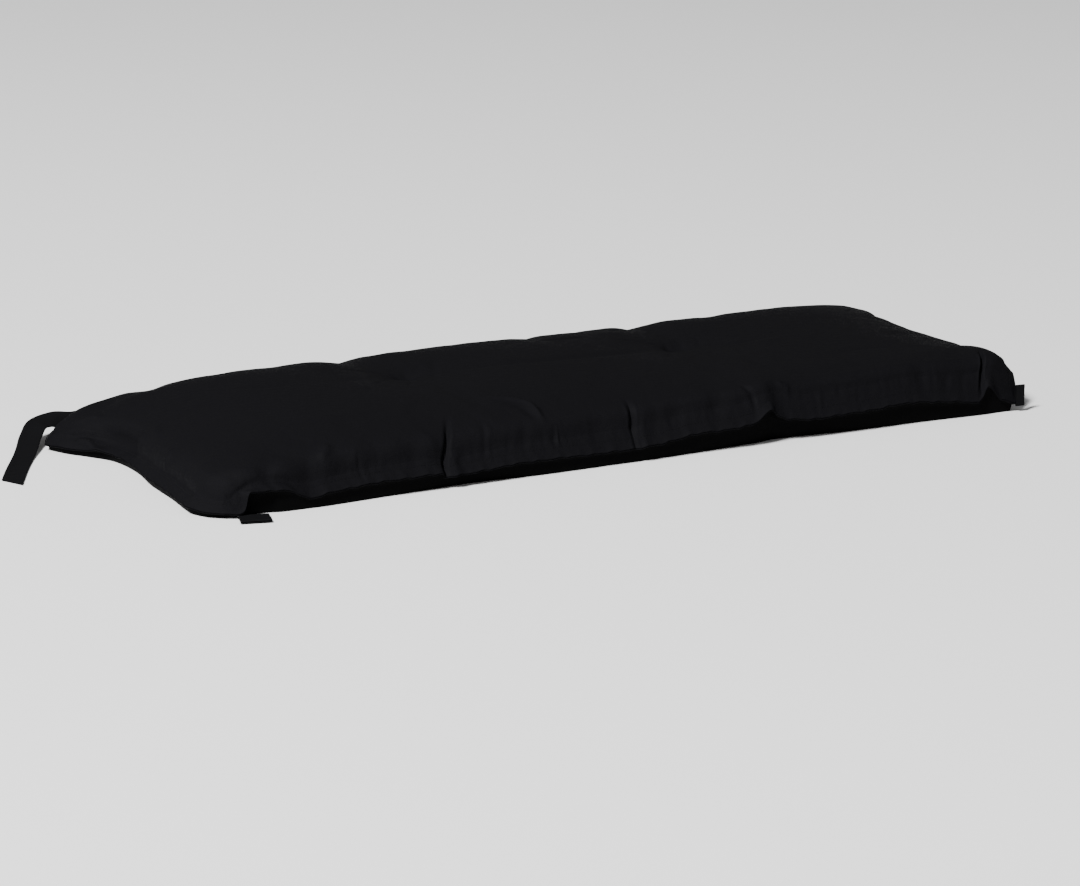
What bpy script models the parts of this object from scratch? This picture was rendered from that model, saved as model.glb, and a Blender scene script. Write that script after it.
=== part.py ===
"""A bench cushion: a filled knife-edge pad of plain black cloth, lying on its flat underside.

A top and a bottom panel meet in one seam, stitched again to leave a flat lip outside the filling.
The pad is crowned, its sides are drawn in between the corners, two tufts pull the top down with a
shallow channel between them, and the top panel is gathered into the seam. Tape ties are caught in
the seam at the back corners and short folded tabs at the front corners.

Metres, +Z up. X runs along the pad, -Y is its front. The origin is the middle of the flat underside.
"""
import math

import bmesh
import bpy
import numpy as np

# ---- Driving dimensions -------------------------------------------------------------------------
HALF_LENGTH = 0.580        # middle of the pad to a drawn-in short side
HALF_DEPTH = 0.230         # middle of the pad to a long side
CROWN_REACH = 0.211        # distance from the lip over which the crown is reached
CROWN_FULLNESS = 2.9       # 2 is an ellipse, more is a fuller, squarer shoulder
LIP = 0.013                # width of the seam's lip, outside the filled body
LIP_THICK = 0.003          # the two panels' turnings, pressed together
LIP_LIFT = 0.011           # how far the lip rises before the body starts

TAPE_WIDTH = 0.028
TAPE_THICK = 0.0016
TAB_GAP = 0.0006           # between the two layers of a folded tab

COLUMNS = 116              # faces along the pad
COLUMN_CROWDING = 0.28     # 0 spaces them evenly, 1 crowds them towards both ends
DEEP_FOLD = 0.0045         # a front gather deeper than this has its columns closer together
FOLD_CROWDING = 1.6        # how many times closer, less one
FOLD_ZONE = 0.020          # over about this distance to either side of it
EVENING_WIDTH = 0.022      # the front seam's height is evened over about this distance to either side
EVENING_REACH = 0.014      # inside the seam, its short rises fade to the evened height over this distance
EVENING_ENDS = 0.03        # share of the length at each end over which the evening starts
ROWS = 30                  # faces from the front seam to the back seam
ROW_CROWDING = 0.85        # the same, towards the two long seams
FINE_STEPS = 200           # samples of a smooth line through a table's rows
TRIAL_STEPS = 4000         # steps that the columns are chosen from
STEEPEST = 2.5             # a smooth line's slope at a row, against the flatter of its two neighbours
SMALL = 1e-9

# ---- The seam, side by side ---------------------------------------------------------------------
# along: place on the side, measured from the pad's middle.
# out:   how far the seam stands outside (+) or inside (-) the nominal side, HALF_LENGTH or HALF_DEPTH.
# high:  the seam's height above the surface that the pad lies on.
# The front side, from the corner at the left, whose ear is tucked down, to the corner at the right.
FRONT_SEAM = (
    # along,  out,    high
    (-0.548, -0.010, 0.0063),
    (-0.531, -0.003, 0.0063),
    (-0.5225, -0.001, 0.0100),
    (-0.5190, -0.001, 0.0250),
    (-0.5140, -0.001, 0.0315),
    (-0.495, -0.001, 0.0305),
    (-0.469, -0.001, 0.0275),
    (-0.453, -0.001, 0.0215),
    (-0.437, -0.001, 0.0145),
    (-0.417, -0.001, 0.0172),
    (-0.398, -0.002, 0.0190),
    (-0.330, -0.003, 0.0220),
    (-0.266, -0.003, 0.0220),
    (-0.252, -0.004, 0.0165),
    (-0.147, -0.004, 0.0215),
    (-0.020, -0.005, 0.0195),
    (0.030, -0.004, 0.0210),
    (0.088, -0.003, 0.0285),
    (0.124, -0.002, 0.0292),
    (0.161, -0.001, 0.0310),
    (0.173, -0.001, 0.0345),
    (0.183, -0.001, 0.0415),
    (0.194, -0.002, 0.0480),
    (0.202, -0.004, 0.0395),
    (0.217, -0.005, 0.0322),
    (0.236, -0.004, 0.0290),
    (0.273, -0.003, 0.0272),
    (0.302, -0.002, 0.0286),
    (0.350, -0.002, 0.0292),
    (0.380, -0.002, 0.0322),
    (0.431, -0.002, 0.0292),
    (0.478, -0.002, 0.0236),
    (0.501, -0.002, 0.0200),
    (0.516, -0.002, 0.0385),
    (0.536, -0.003, 0.0205),
    (0.559, -0.004, 0.0120),
)
# The left side, from the front corner to the tip of the ear at the back.
LEFT_SEAM = (
    (-0.220, -0.032, 0.0063),
    (-0.203, -0.013, 0.0072),
    (-0.175, -0.001, 0.0110),
    (-0.100, -0.004, 0.0120),
    (-0.050, -0.004, 0.0120),
    (0.025, -0.010, 0.0120),
    (0.085, -0.004, 0.0120),
    (0.122, 0.017, 0.0110),
    (0.150, 0.036, 0.0090),
    (0.178, 0.048, 0.0080),
)
# The back side, from the tip of the left ear to the tip of the right ear.
BACK_SEAM = (
    (-0.628, -0.052, 0.0080),
    (-0.612, -0.022, 0.0110),
    (-0.585, -0.005, 0.0150),
    (-0.540, 0.001, 0.0190),
    (-0.430, -0.002, 0.0220),
    (-0.250, -0.005, 0.0210),
    (-0.060, -0.007, 0.0230),
    (0.150, -0.006, 0.0220),
    (0.340, -0.003, 0.0240),
    (0.480, 0.000, 0.0220),
    (0.560, 0.002, 0.0180),
    (0.594, -0.008, 0.0150),
    (0.606, -0.026, 0.0130),
)
# The right side, from the front corner to the tip of the ear at the back.
RIGHT_SEAM = (
    (-0.226, -0.021, 0.0120),
    (-0.217, -0.016, 0.0300),
    (-0.203, -0.012, 0.0460),
    (-0.172, -0.005, 0.0450),
    (-0.120, -0.004, 0.0300),
    (-0.055, -0.004, 0.0210),
    (0.020, -0.006, 0.0170),
    (0.110, 0.002, 0.0150),
    (0.165, 0.013, 0.0140),
    (0.204, 0.026, 0.0130),
)

# ---- The filling --------------------------------------------------------------------------------
# The crown's height above the surface, along the pad.
CROWN_LINE = (
    # along, high
    (-0.600, 0.054),
    (-0.520, 0.066),
    (-0.450, 0.077),
    (-0.360, 0.084),
    (-0.185, 0.085),
    (-0.060, 0.0868),
    (0.020, 0.0850),
    (0.200, 0.081),
    (0.400, 0.081),
    (0.500, 0.078),
    (0.600, 0.071),
)
# How full each corner is: 0 where both slopes thin it as on a pillow, 1 where it is stuffed tight up to
# the seam, less than 0 where it is an empty ear.
CORNER_FULL = {"front_left": 0.3, "front_right": 0.8, "back_left": -0.8, "back_right": 0.2}

# ---- Relief of the top panel --------------------------------------------------------------------
# A tuft draws the panel down in a small pit inside a wide, shallow dish.
TUFTS = (
    # x,      y,      pit,    pit_radius, dish,   dish_radius
    (-0.185, 0.045, 0.0110, 0.022, 0.0070, 0.085),
    (0.200, 0.032, 0.0110, 0.022, 0.0070, 0.085),
)
# The filling parts a little between the two tufts, which leaves a shallow channel from one to the other.
CHANNEL = ((-0.185, 0.045), (-0.120, 0.016), (-0.040, -0.002), (0.050, -0.006), (0.130, 0.004), (0.200, 0.032))
CHANNEL_DEPTH = 0.0030
CHANNEL_HALF = 0.018
# Folds where the panel is gathered into the seam: they run from the seam up over the shoulder.
# side: the seam that the fold starts at. along: where. reach: how far up it runs, over the cloth.
# lean: how far its upper end leans to the right. depth: how deep it is. half: half its width at the
# seam, from which it widens by WIDENING. The cloth is pushed up in a low ridge along both its banks.
WIDENING = 0.5
BANK_HEIGHT = 0.20         # of the fold's depth
BANK_PLACE = 1.7           # in half widths from the fold's middle
BANK_SPREAD = 0.5
FADE_START = 0.07          # a fold has some of its depth already where it leaves the seam
FADE_POWER = 0.7           # less than 1 keeps it deep for most of its length
LIP_FREE = 0.6             # share of the lip that the gathers leave flat
GATHERS = (
    # side,   along, reach,  lean,  depth,  half
    ("front", -0.492, 0.050, 0.012, 0.0040, 0.010),
    ("front", -0.436, 0.060, 0.006, 0.0038, 0.010),
    ("front", -0.392, 0.055, -0.006, 0.0026, 0.009),
    ("front", -0.357, 0.075, 0.008, 0.0030, 0.009),
    ("front", -0.300, 0.050, 0.000, 0.0022, 0.009),
    ("front", -0.256, 0.080, 0.022, 0.0090, 0.006),
    ("front", -0.196, 0.055, 0.004, 0.0026, 0.009),
    ("front", -0.148, 0.060, -0.006, 0.0030, 0.010),
    ("front", -0.100, 0.050, 0.004, 0.0024, 0.009),
    ("front", -0.045, 0.050, -0.004, 0.0024, 0.010),
    ("front", 0.002, 0.062, 0.004, 0.0060, 0.006),
    ("front", 0.062, 0.045, 0.006, 0.0022, 0.010),
    ("front", 0.118, 0.050, 0.012, 0.0026, 0.010),
    ("front", 0.168, 0.046, 0.004, 0.0050, 0.006),
    ("front", 0.208, 0.036, 0.008, 0.0024, 0.009),
    ("front", 0.290, 0.050, 0.004, 0.0020, 0.010),
    ("front", 0.352, 0.050, 0.000, 0.0020, 0.010),
    ("front", 0.420, 0.055, 0.004, 0.0020, 0.010),
    ("front", 0.466, 0.030, 0.002, 0.0024, 0.009),
    ("front", 0.508, 0.066, 0.026, 0.0085, 0.007),
    ("back", -0.480, 0.090, 0.004, 0.0035, 0.014),
    ("back", -0.330, 0.080, -0.006, 0.0020, 0.014),
    ("back", -0.228, 0.250, 0.030, 0.0060, 0.024),
    ("back", -0.100, 0.090, 0.006, 0.0014, 0.014),
    ("back", 0.040, 0.170, 0.004, 0.0036, 0.012),
    ("back", 0.210, 0.250, 0.002, 0.0065, 0.022),
    ("back", 0.330, 0.090, -0.006, 0.0030, 0.014),
    ("back", 0.470, 0.080, 0.006, 0.0030, 0.014),
    ("left", -0.140, 0.060, 0.000, 0.0030, 0.012),
    ("left", -0.020, 0.055, 0.000, 0.0030, 0.012),
    ("left", 0.100, 0.075, 0.010, 0.0055, 0.014),
    ("right", -0.120, 0.060, 0.000, 0.0030, 0.012),
    ("right", 0.010, 0.055, 0.000, 0.0030, 0.012),
    ("right", 0.120, 0.070, 0.000, 0.0040, 0.014),
)

# ---- The underside, ring by ring ----------------------------------------------------------------
# inset: distance inside the seam, as a share of the whole step in to the flat underside.
# high: height as a share of the seam's height.
UNDER_RINGS = (
    # inset, high
    (0.55, 0.90),
    (0.65, 0.55),
    (0.78, 0.20),
    (1.00, 0.00),
)
INSET_SMOOTHING = 6        # passes over the ring's inward directions, which would cross at the corners
# How far inside the seam the flat underside starts, along the pad.
UNDERSIDE_LINE = (
    # along, inset
    (-0.600, 0.0070),
    (-0.560, 0.0080),
    (-0.535, 0.0140),
    (-0.495, 0.0140),
    (-0.470, 0.0075),
    (-0.400, 0.0065),
    (-0.320, 0.0110),
    (-0.220, 0.0160),
    (-0.100, 0.0090),
    (0.030, 0.0110),
    (0.230, 0.0245),
    (0.330, 0.0170),
    (0.430, 0.0145),
    (0.530, 0.0085),
    (0.600, 0.0080),
)

# ---- Tapes --------------------------------------------------------------------------------------
# x, y: the tape's middle line. lift: its lowest edge above the surface. lean: 0 or 180 lies flat, 90
# stands on its edge.
TIES = {
    "tie_back_left_long": (
        # x,      y,      lift,   lean
        (-0.5442, 0.2322, 0.0040, 90),
        (-0.5700, 0.2335, 0.0040, 108),
        (-0.5980, 0.2350, 0.0160, 150),
        (-0.6180, 0.2290, 0.0180, 164),
        (-0.6360, 0.2080, 0.0110, 172),
        (-0.6530, 0.1770, 0.0040, 178),
        (-0.6730, 0.1400, 0.0004, 180),
        (-0.6940, 0.0980, 0.0004, 180),
        (-0.7159, 0.0509, 0.0004, 180),
    ),
    "tie_back_left_short": (
        (-0.5438, 0.2322, 0.0040, 90),
        (-0.5100, 0.2340, 0.0020, 90),
        (-0.4800, 0.2420, 0.0004, 80),
        (-0.4500, 0.2590, 0.0004, 50),
        (-0.4200, 0.2820, 0.0004, 15),
        (-0.3900, 0.3060, 0.0004, 0),
        (-0.3600, 0.3260, 0.0004, 0),
    ),
    "tie_back_right_long": (
        (0.5450, 0.2329, 0.0040, 90),
        (0.5150, 0.2350, 0.0020, 90),
        (0.4850, 0.2430, 0.0004, 80),
        (0.4550, 0.2580, 0.0004, 50),
        (0.4250, 0.2720, 0.0004, 15),
        (0.3700, 0.2870, 0.0004, 0),
        (0.3100, 0.2900, 0.0004, 0),
        (0.2500, 0.2850, 0.0004, 0),
    ),
    "tie_back_right_short": (
        (0.5450, 0.2350, 0.0040, 90),
        (0.5250, 0.2390, 0.0030, 90),
        (0.5030, 0.2530, 0.0004, 80),
        (0.4900, 0.2760, 0.0004, 50),
        (0.4840, 0.3020, 0.0004, 15),
        (0.4780, 0.3300, 0.0004, 0),
        (0.4700, 0.3600, 0.0004, 0),
    ),
}
# A tab is the same tape folded double. It runs straight from its root to its fold.
TABS = {
    # root x, root y, fold x, fold y, lift, lean
    "tab_front_left": (-0.5335, -0.2365, -0.4980, -0.2460, 0.0004, 0),
    "tab_front_right": (0.5594, -0.2272, 0.5712, -0.2282, 0.0080, 90),
}
# How far a tie's free end is cut on the slant: length gained along it for each unit across it.
CUT_SLANT = {"tie_back_left_long": 0.8}
CUT_SECTIONS = 4           # the last sections, which turn step by step to the cut
TIE_SECTIONS = 26
TAB_LAYER_STEPS = 3
TAB_FOLD_SECTIONS = 6

BLACK_CLOTH = (0.012, 0.012, 0.014, 1.0)
BLACK_TAPE = (0.014, 0.014, 0.016, 1.0)
CLOTH_ROUGHNESS = 0.85
SHARP_ANGLE = math.radians(40)


def clear_scene():
    """Remove what the scene holds."""
    for thing in list(bpy.data.objects):
        bpy.data.objects.remove(thing, do_unlink=True)


def cloth_material(name, colour):
    """A plain cloth finish."""
    material = bpy.data.materials.new(name)
    material.use_nodes = True
    shader = material.node_tree.nodes["Principled BSDF"]
    shader.inputs["Base Color"].default_value = colour
    shader.inputs["Roughness"].default_value = CLOTH_ROUGHNESS
    shader.inputs["Metallic"].default_value = 0.0
    return material


def smooth_through(rows, shares):
    """Points on a smooth curve through the rows, at the given shares of its length."""
    rows = np.asarray(rows, dtype=float)
    chords = np.linalg.norm(np.diff(rows[:, :2], axis=0), axis=1)
    knots = np.concatenate([[0.0], np.cumsum(chords)]) / chords.sum()
    slopes = np.gradient(rows, knots, axis=0)
    steps = np.diff(rows, axis=0) / np.diff(knots)[:, None]
    for column in range(rows.shape[1]):
        for i in range(1, len(rows) - 1):
            before, after = steps[i - 1, column], steps[i, column]
            if before * after <= 0:
                slopes[i, column] = 0.0
            else:
                limit = STEEPEST * min(abs(before), abs(after))
                slopes[i, column] = math.copysign(min(abs(slopes[i, column]), limit), before)
    points = []
    for share in shares:
        i = min(int(np.searchsorted(knots, share, side="right")) - 1, len(rows) - 2)
        width = knots[i + 1] - knots[i]
        t = (share - knots[i]) / width
        h00 = 2 * t ** 3 - 3 * t ** 2 + 1
        h10 = t ** 3 - 2 * t ** 2 + t
        h01 = -2 * t ** 3 + 3 * t ** 2
        h11 = t ** 3 - t ** 2
        points.append(h00 * rows[i] + h10 * width * slopes[i] + h01 * rows[i + 1] + h11 * width * slopes[i + 1])
    return np.array(points)


def smooth_line(rows, places):
    """A value that runs smoothly through the rows (place, value), read at the given places."""
    fine = smooth_through([(place, value, 0.0) for place, value in rows], np.linspace(0, 1, FINE_STEPS))
    return np.interp(places, fine[:, 0], fine[:, 1])


def side_points(table, side):
    """The table's rows as x, y, z."""
    rows = []
    for along, out, high in table:
        if side == "front":
            rows.append((along, -HALF_DEPTH - out, high))
        elif side == "back":
            rows.append((along, HALF_DEPTH + out, high))
        elif side == "left":
            rows.append((-HALF_LENGTH - out, along, high))
        else:
            rows.append((HALF_LENGTH + out, along, high))
    return rows


def crowded_shares(count, crowding):
    """Shares from 0 to 1 in the given number of steps, which grow smaller towards both ends."""
    even = np.linspace(-1.0, 1.0, count + 1)
    return 0.5 + 0.5 * ((1 - crowding) * even + crowding * np.sin(even * math.pi / 2))


def column_shares():
    """Shares of the length at which the pad has columns of points, closer together at the deep folds."""
    trial = crowded_shares(TRIAL_STEPS, COLUMN_CROWDING)
    along = (2 * trial[1:] - 1) * HALF_LENGTH
    weight = np.ones(TRIAL_STEPS)
    for side, place, _, lean, depth, _ in GATHERS:
        if side == "front" and depth > DEEP_FOLD:
            weight += FOLD_CROWDING * np.exp(-((along - place - lean / 2) / FOLD_ZONE) ** 2)
    counted = np.concatenate([[0.0], np.cumsum(weight)])
    return np.interp(np.linspace(0, counted[-1], COLUMNS + 1), counted, trial)


def row_shares():
    """Shares of the depth at which the pad has rows of points."""
    return crowded_shares(ROWS, ROW_CROWDING)


def sharp_relief(line, us):
    """How far the front seam's short rises and dips stand above its evened height."""
    apart = (line[:, None, 0] - line[None, :, 0]) / EVENING_WIDTH
    weights = np.exp(-apart ** 2) * np.gradient(line[:, 0])
    evened = weights @ line[:, 2] / weights.sum(axis=1)
    return (line[:, 2] - evened) * np.clip(np.minimum(us, 1 - us) / EVENING_ENDS, 0.0, 1.0)


def seam_patch():
    """The surface that the seam spans: a grid of x, y and seam height, filled in between the four sides."""
    us = column_shares()
    vs = row_shares()
    front = smooth_through(side_points(FRONT_SEAM, "front"), us)
    back = smooth_through(side_points(BACK_SEAM, "back"), us)
    left = smooth_through(side_points(LEFT_SEAM, "left"), vs)
    right = smooth_through(side_points(RIGHT_SEAM, "right"), vs)
    u = us[:, None, None]
    v = vs[None, :, None]
    between_long_sides = (1 - v) * front[:, None, :] + v * back[:, None, :]
    between_short_sides = (1 - u) * left[None, :, :] + u * right[None, :, :]
    corners = ((1 - u) * (1 - v) * front[0] + u * (1 - v) * front[-1]
               + (1 - u) * v * back[0] + u * v * back[-1])
    patch = between_long_sides + between_short_sides - corners
    fade = (1 - vs) * (1 - np.exp(-(2 * HALF_DEPTH * vs / EVENING_REACH) ** 2))
    patch[:, :, 2] -= sharp_relief(front, us)[:, None] * fade
    return patch


def rise(distance):
    """Share of the crown at a distance inside the seam: a lip, then a full, round shoulder."""
    inside = np.clip((distance - LIP) / CROWN_REACH, 0.0, 1.0)
    return (1 - (1 - inside) ** CROWN_FULLNESS) ** (1 / CROWN_FULLNESS)


def filled(over_depth, over_length):
    """Share of the crown where both slopes meet, as full in each corner as its filling makes it."""
    u = column_shares()[:, None]
    v = row_shares()[None, :]
    full = ((1 - u) * (1 - v) * CORNER_FULL["front_left"] + u * (1 - v) * CORNER_FULL["front_right"]
            + (1 - u) * v * CORNER_FULL["back_left"] + u * v * CORNER_FULL["back_right"])
    thin = over_depth * over_length
    return thin + full * (np.minimum(over_depth, over_length) - thin)


def side_distances(patch):
    """For each point, how far it lies inside the front, back, left and right seams."""
    depth_steps = np.linalg.norm(np.diff(patch[:, :, :2], axis=1), axis=2)
    length_steps = np.linalg.norm(np.diff(patch[:, :, :2], axis=0), axis=2)
    front = np.concatenate([np.zeros((patch.shape[0], 1)), np.cumsum(depth_steps, axis=1)], axis=1)
    left = np.concatenate([np.zeros((1, patch.shape[1])), np.cumsum(length_steps, axis=0)], axis=0)
    back = front[:, -1:] - front
    right = left[-1:, :] - left
    return front, back, left, right


def tufted(x, y):
    """How far the tufts draw the panel down at x, y."""
    drop = np.zeros_like(x)
    for centre_x, centre_y, pit, pit_radius, dish, dish_radius in TUFTS:
        away = np.hypot(x - centre_x, y - centre_y)
        drop += pit / (1 + (away / pit_radius) ** 2) ** 1.5
        drop += dish * np.exp(-(away / dish_radius) ** 2)
    return drop


def channelled(x, y):
    """How far the channel between the tufts lies below the panel at x, y."""
    line = smooth_through([(a, b, 0.0) for a, b in CHANNEL], np.linspace(0, 1, FINE_STEPS))
    away = np.hypot(x[:, :, None] - line[:, 0], y[:, :, None] - line[:, 1]).min(axis=2)
    return CHANNEL_DEPTH * np.exp(-(away / CHANNEL_HALF) ** 2)


def surface_normals(grid):
    """Unit normals of a grid of points, pointing up and out."""
    across = np.gradient(grid, axis=0)
    inward = np.gradient(grid, axis=1)
    normal = np.cross(across, inward)
    return normal / np.maximum(np.linalg.norm(normal, axis=2, keepdims=True), SMALL)


def girths(grid):
    """Distance over the cloth from each of the four seams."""
    depth_steps = np.linalg.norm(np.diff(grid, axis=1), axis=2)
    length_steps = np.linalg.norm(np.diff(grid, axis=0), axis=2)
    front = np.concatenate([np.zeros((grid.shape[0], 1)), np.cumsum(depth_steps, axis=1)], axis=1)
    left = np.concatenate([np.zeros((1, grid.shape[1])), np.cumsum(length_steps, axis=0)], axis=0)
    return {"front": front, "back": front[:, -1:] - front, "left": left, "right": left[-1:, :] - left}


def gathered(grid):
    """Depth of the gathers at each point of the panel."""
    over = girths(grid)
    depth_map = np.zeros(grid.shape[:2])
    for side, along, reach, lean, depth, half in GATHERS:
        up = over[side]
        place = grid[:, :, 0] if side in ("front", "back") else grid[:, :, 1]
        share = np.clip(up / reach, 0.0, 1.0)
        middle = along + lean * share
        across = np.abs(place - middle) / (half * (1 + WIDENING * share))
        bank = BANK_HEIGHT * np.exp(-(across - BANK_PLACE) ** 2 / BANK_SPREAD)
        grown = FADE_START + (1 - FADE_START) * share
        fade = np.clip(np.sin(math.pi * grown), 0.0, 1.0) ** FADE_POWER
        depth_map += depth * (np.exp(-across ** 2) - bank) * fade
    return depth_map


def top_panel(patch):
    """The crowned top panel, with its tufts, its channel and its gathers."""
    front, back, left, right = side_distances(patch)
    share = filled(rise(np.minimum(front, back)), rise(np.minimum(left, right)))
    lip = np.minimum(np.minimum(front, back), np.minimum(left, right)) / LIP
    crown = smooth_line(CROWN_LINE, patch[:, :, 0]) - patch[:, :, 2] - LIP_LIFT
    grid = patch.copy()
    grid[:, :, 2] += LIP_THICK / 2 + LIP_LIFT * np.clip(lip, 0, 1) + crown * share
    drawn = tufted(grid[:, :, 0], grid[:, :, 1]) + channelled(grid[:, :, 0], grid[:, :, 1])
    grid[:, :, 2] -= drawn * share
    free = np.clip(lip - LIP_FREE, 0, 1)[:, :, None]
    return grid - surface_normals(grid) * gathered(grid)[:, :, None] * free


def boundary_indices():
    """Grid indices round the seam, anticlockwise seen from above."""
    loop = [(i, 0) for i in range(COLUMNS)]
    loop += [(COLUMNS, j) for j in range(ROWS)]
    loop += [(i, ROWS) for i in range(COLUMNS, 0, -1)]
    loop += [(0, j) for j in range(ROWS, 0, -1)]
    return loop


def inset_ring(outline, share):
    """The outline moved in by a share of the step to the underside, smoothed where it would fold."""
    points = outline[:, :2]
    inset = share * smooth_line(UNDERSIDE_LINE, points[:, 0])
    along = np.roll(points, -1, axis=0) - np.roll(points, 1, axis=0)
    along /= np.maximum(np.linalg.norm(along, axis=1, keepdims=True), SMALL)
    inward = np.stack([-along[:, 1], along[:, 0]], axis=1)
    for _ in range(INSET_SMOOTHING):
        inward = (np.roll(inward, 1, axis=0) + 2 * inward + np.roll(inward, -1, axis=0)) / 4
    inward /= np.maximum(np.linalg.norm(inward, axis=1, keepdims=True), SMALL)
    return points + inward * inset[:, None]


def build_cushion(material):
    """The filled pad as one closed body."""
    patch = seam_patch()
    top = top_panel(patch)
    mesh = bmesh.new()
    grid = [[mesh.verts.new(top[i, j]) for j in range(ROWS + 1)] for i in range(COLUMNS + 1)]
    for i in range(COLUMNS):
        for j in range(ROWS):
            mesh.faces.new((grid[i][j], grid[i + 1][j], grid[i + 1][j + 1], grid[i][j + 1]))
    loop = boundary_indices()
    outline = np.array([patch[i, j] for i, j in loop])
    above = [grid[i][j] for i, j in loop]
    rings = [[(x, y, z - LIP_THICK / 2) for x, y, z in outline]]
    for share, high in UNDER_RINGS:
        places = inset_ring(outline, share)
        rings.append([(x, y, high * (z - LIP_THICK / 2)) for (x, y), z in zip(places, outline[:, 2])])
    count = len(loop)
    for ring in rings:
        below = [mesh.verts.new(point) for point in ring]
        for k in range(count):
            after = (k + 1) % count
            mesh.faces.new((above[k], below[k], below[after], above[after]))
        above = below
    mesh.faces.new(list(reversed(above)))
    return finish(mesh, "cushion", material)


def finish(mesh, name, material):
    """Turn the bmesh into a named object with smooth faces pointing out."""
    bmesh.ops.recalc_face_normals(mesh, faces=mesh.faces[:])
    bmesh.ops.triangulate(mesh, faces=[face for face in mesh.faces if len(face.verts) > 4])
    data = bpy.data.meshes.new(name)
    mesh.to_mesh(data)
    mesh.free()
    data.materials.append(material)
    data.shade_smooth()
    data.set_sharp_from_angle(angle=SHARP_ANGLE)
    thing = bpy.data.objects.new(name, data)
    bpy.context.scene.collection.objects.link(thing)
    return thing


def tape_frame(along, lean):
    """Directions across a tape and out of its face, for its direction and its lean in degrees."""
    level = np.array([-along[1], along[0], 0.0])
    level /= np.linalg.norm(level)
    upward = np.cross(along, level)
    angle = math.radians(lean)
    across = math.cos(angle) * level + math.sin(angle) * upward
    return across, np.cross(along, across)


def bridge_sections(name, sections, material):
    """A closed strip through four-cornered sections."""
    mesh = bmesh.new()
    rings = [[mesh.verts.new(corner) for corner in section] for section in sections]
    for ring, following in zip(rings, rings[1:]):
        for k in range(4):
            after = (k + 1) % 4
            mesh.faces.new((ring[k], ring[after], following[after], following[k]))
    mesh.faces.new(list(reversed(rings[0])))
    mesh.faces.new(rings[-1])
    return finish(mesh, name, material)


def section_at(middle, across, out):
    """The four corners of a tape's section."""
    wide = across * TAPE_WIDTH / 2
    thick = out * TAPE_THICK / 2
    return [middle - wide - thick, middle + wide - thick, middle + wide + thick, middle - wide + thick]


def resting_height(lift, lean):
    """Height of a tape's middle line when its lowest edge is at the given lift."""
    angle = math.radians(lean)
    return lift + TAPE_WIDTH / 2 * math.sin(angle) + TAPE_THICK / 2 * abs(math.cos(angle))


def build_tie(name, rows, material):
    """One free end of a tie, from its root in the seam to its cut end."""
    slant = CUT_SLANT.get(name, 0.0)
    path = smooth_through(rows, np.linspace(0, 1, TIE_SECTIONS + 1))
    middles = [np.array([x, y, resting_height(lift, lean)]) for x, y, lift, lean in path]
    sections = []
    for k, middle in enumerate(middles):
        along = middles[min(k + 1, TIE_SECTIONS)] - middles[max(k - 1, 0)]
        along[2] = 0.0
        along /= np.linalg.norm(along)
        across, out = tape_frame(along, path[k][3])
        turned = slant * max(k - TIE_SECTIONS + CUT_SECTIONS, 0) / CUT_SECTIONS
        sections.append(section_at(middle, across - along * turned, out))
    return bridge_sections(name, sections, material)


def build_tab(name, row, material):
    """A tape folded double: out along one layer, round the fold, and back along the other."""
    root_x, root_y, fold_x, fold_y, lift, lean = row
    apart = (TAPE_THICK + TAB_GAP) / 2
    along = np.array([fold_x - root_x, fold_y - root_y, 0.0])
    run = np.linalg.norm(along) - apart
    along /= np.linalg.norm(along)
    across, out = tape_frame(along, lean)
    height = resting_height(lift, lean) + apart * abs(out[2])
    root = np.array([root_x, root_y, height])
    steps = np.linspace(0.0, run, TAB_LAYER_STEPS + 1)
    lower = [(step, -apart, 0.0) for step in steps]
    fold = [(run + apart * math.sin(turn), -apart * math.cos(turn), turn)
            for turn in np.linspace(0, math.pi, TAB_FOLD_SECTIONS + 1)[1:-1]]
    upper = [(step, apart, math.pi) for step in reversed(steps)]
    sections = []
    for forward, aside, turn in lower + fold + upper:
        facing = out * math.cos(turn) - along * math.sin(turn)
        sections.append(section_at(root + along * forward + out * aside, across, facing))
    return bridge_sections(name, sections, material)


def main():
    clear_scene()
    cloth = cloth_material("black_cloth", BLACK_CLOTH)
    tape = cloth_material("black_tape", BLACK_TAPE)
    build_cushion(cloth)
    for name, rows in TIES.items():
        build_tie(name, rows, tape)
    for name, row in TABS.items():
        build_tab(name, row, tape)


main()
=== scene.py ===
# %% [markdown]
# # A black bench cushion
#
# The real cushion is a long seat pad. Two panels of plain black cloth are sewn together in one seam,
# turned, stitched again to leave a flat flange outside the filling, and stuffed with fibre. Two tufts
# pull the top down. Tapes are caught in the seam at the corners. The script loads the measured model
# first, because every later piece takes its place from it.
# %% Load the measured model
import math

import bmesh
import bpy
import numpy as np
from mathutils import Matrix, Vector


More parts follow.
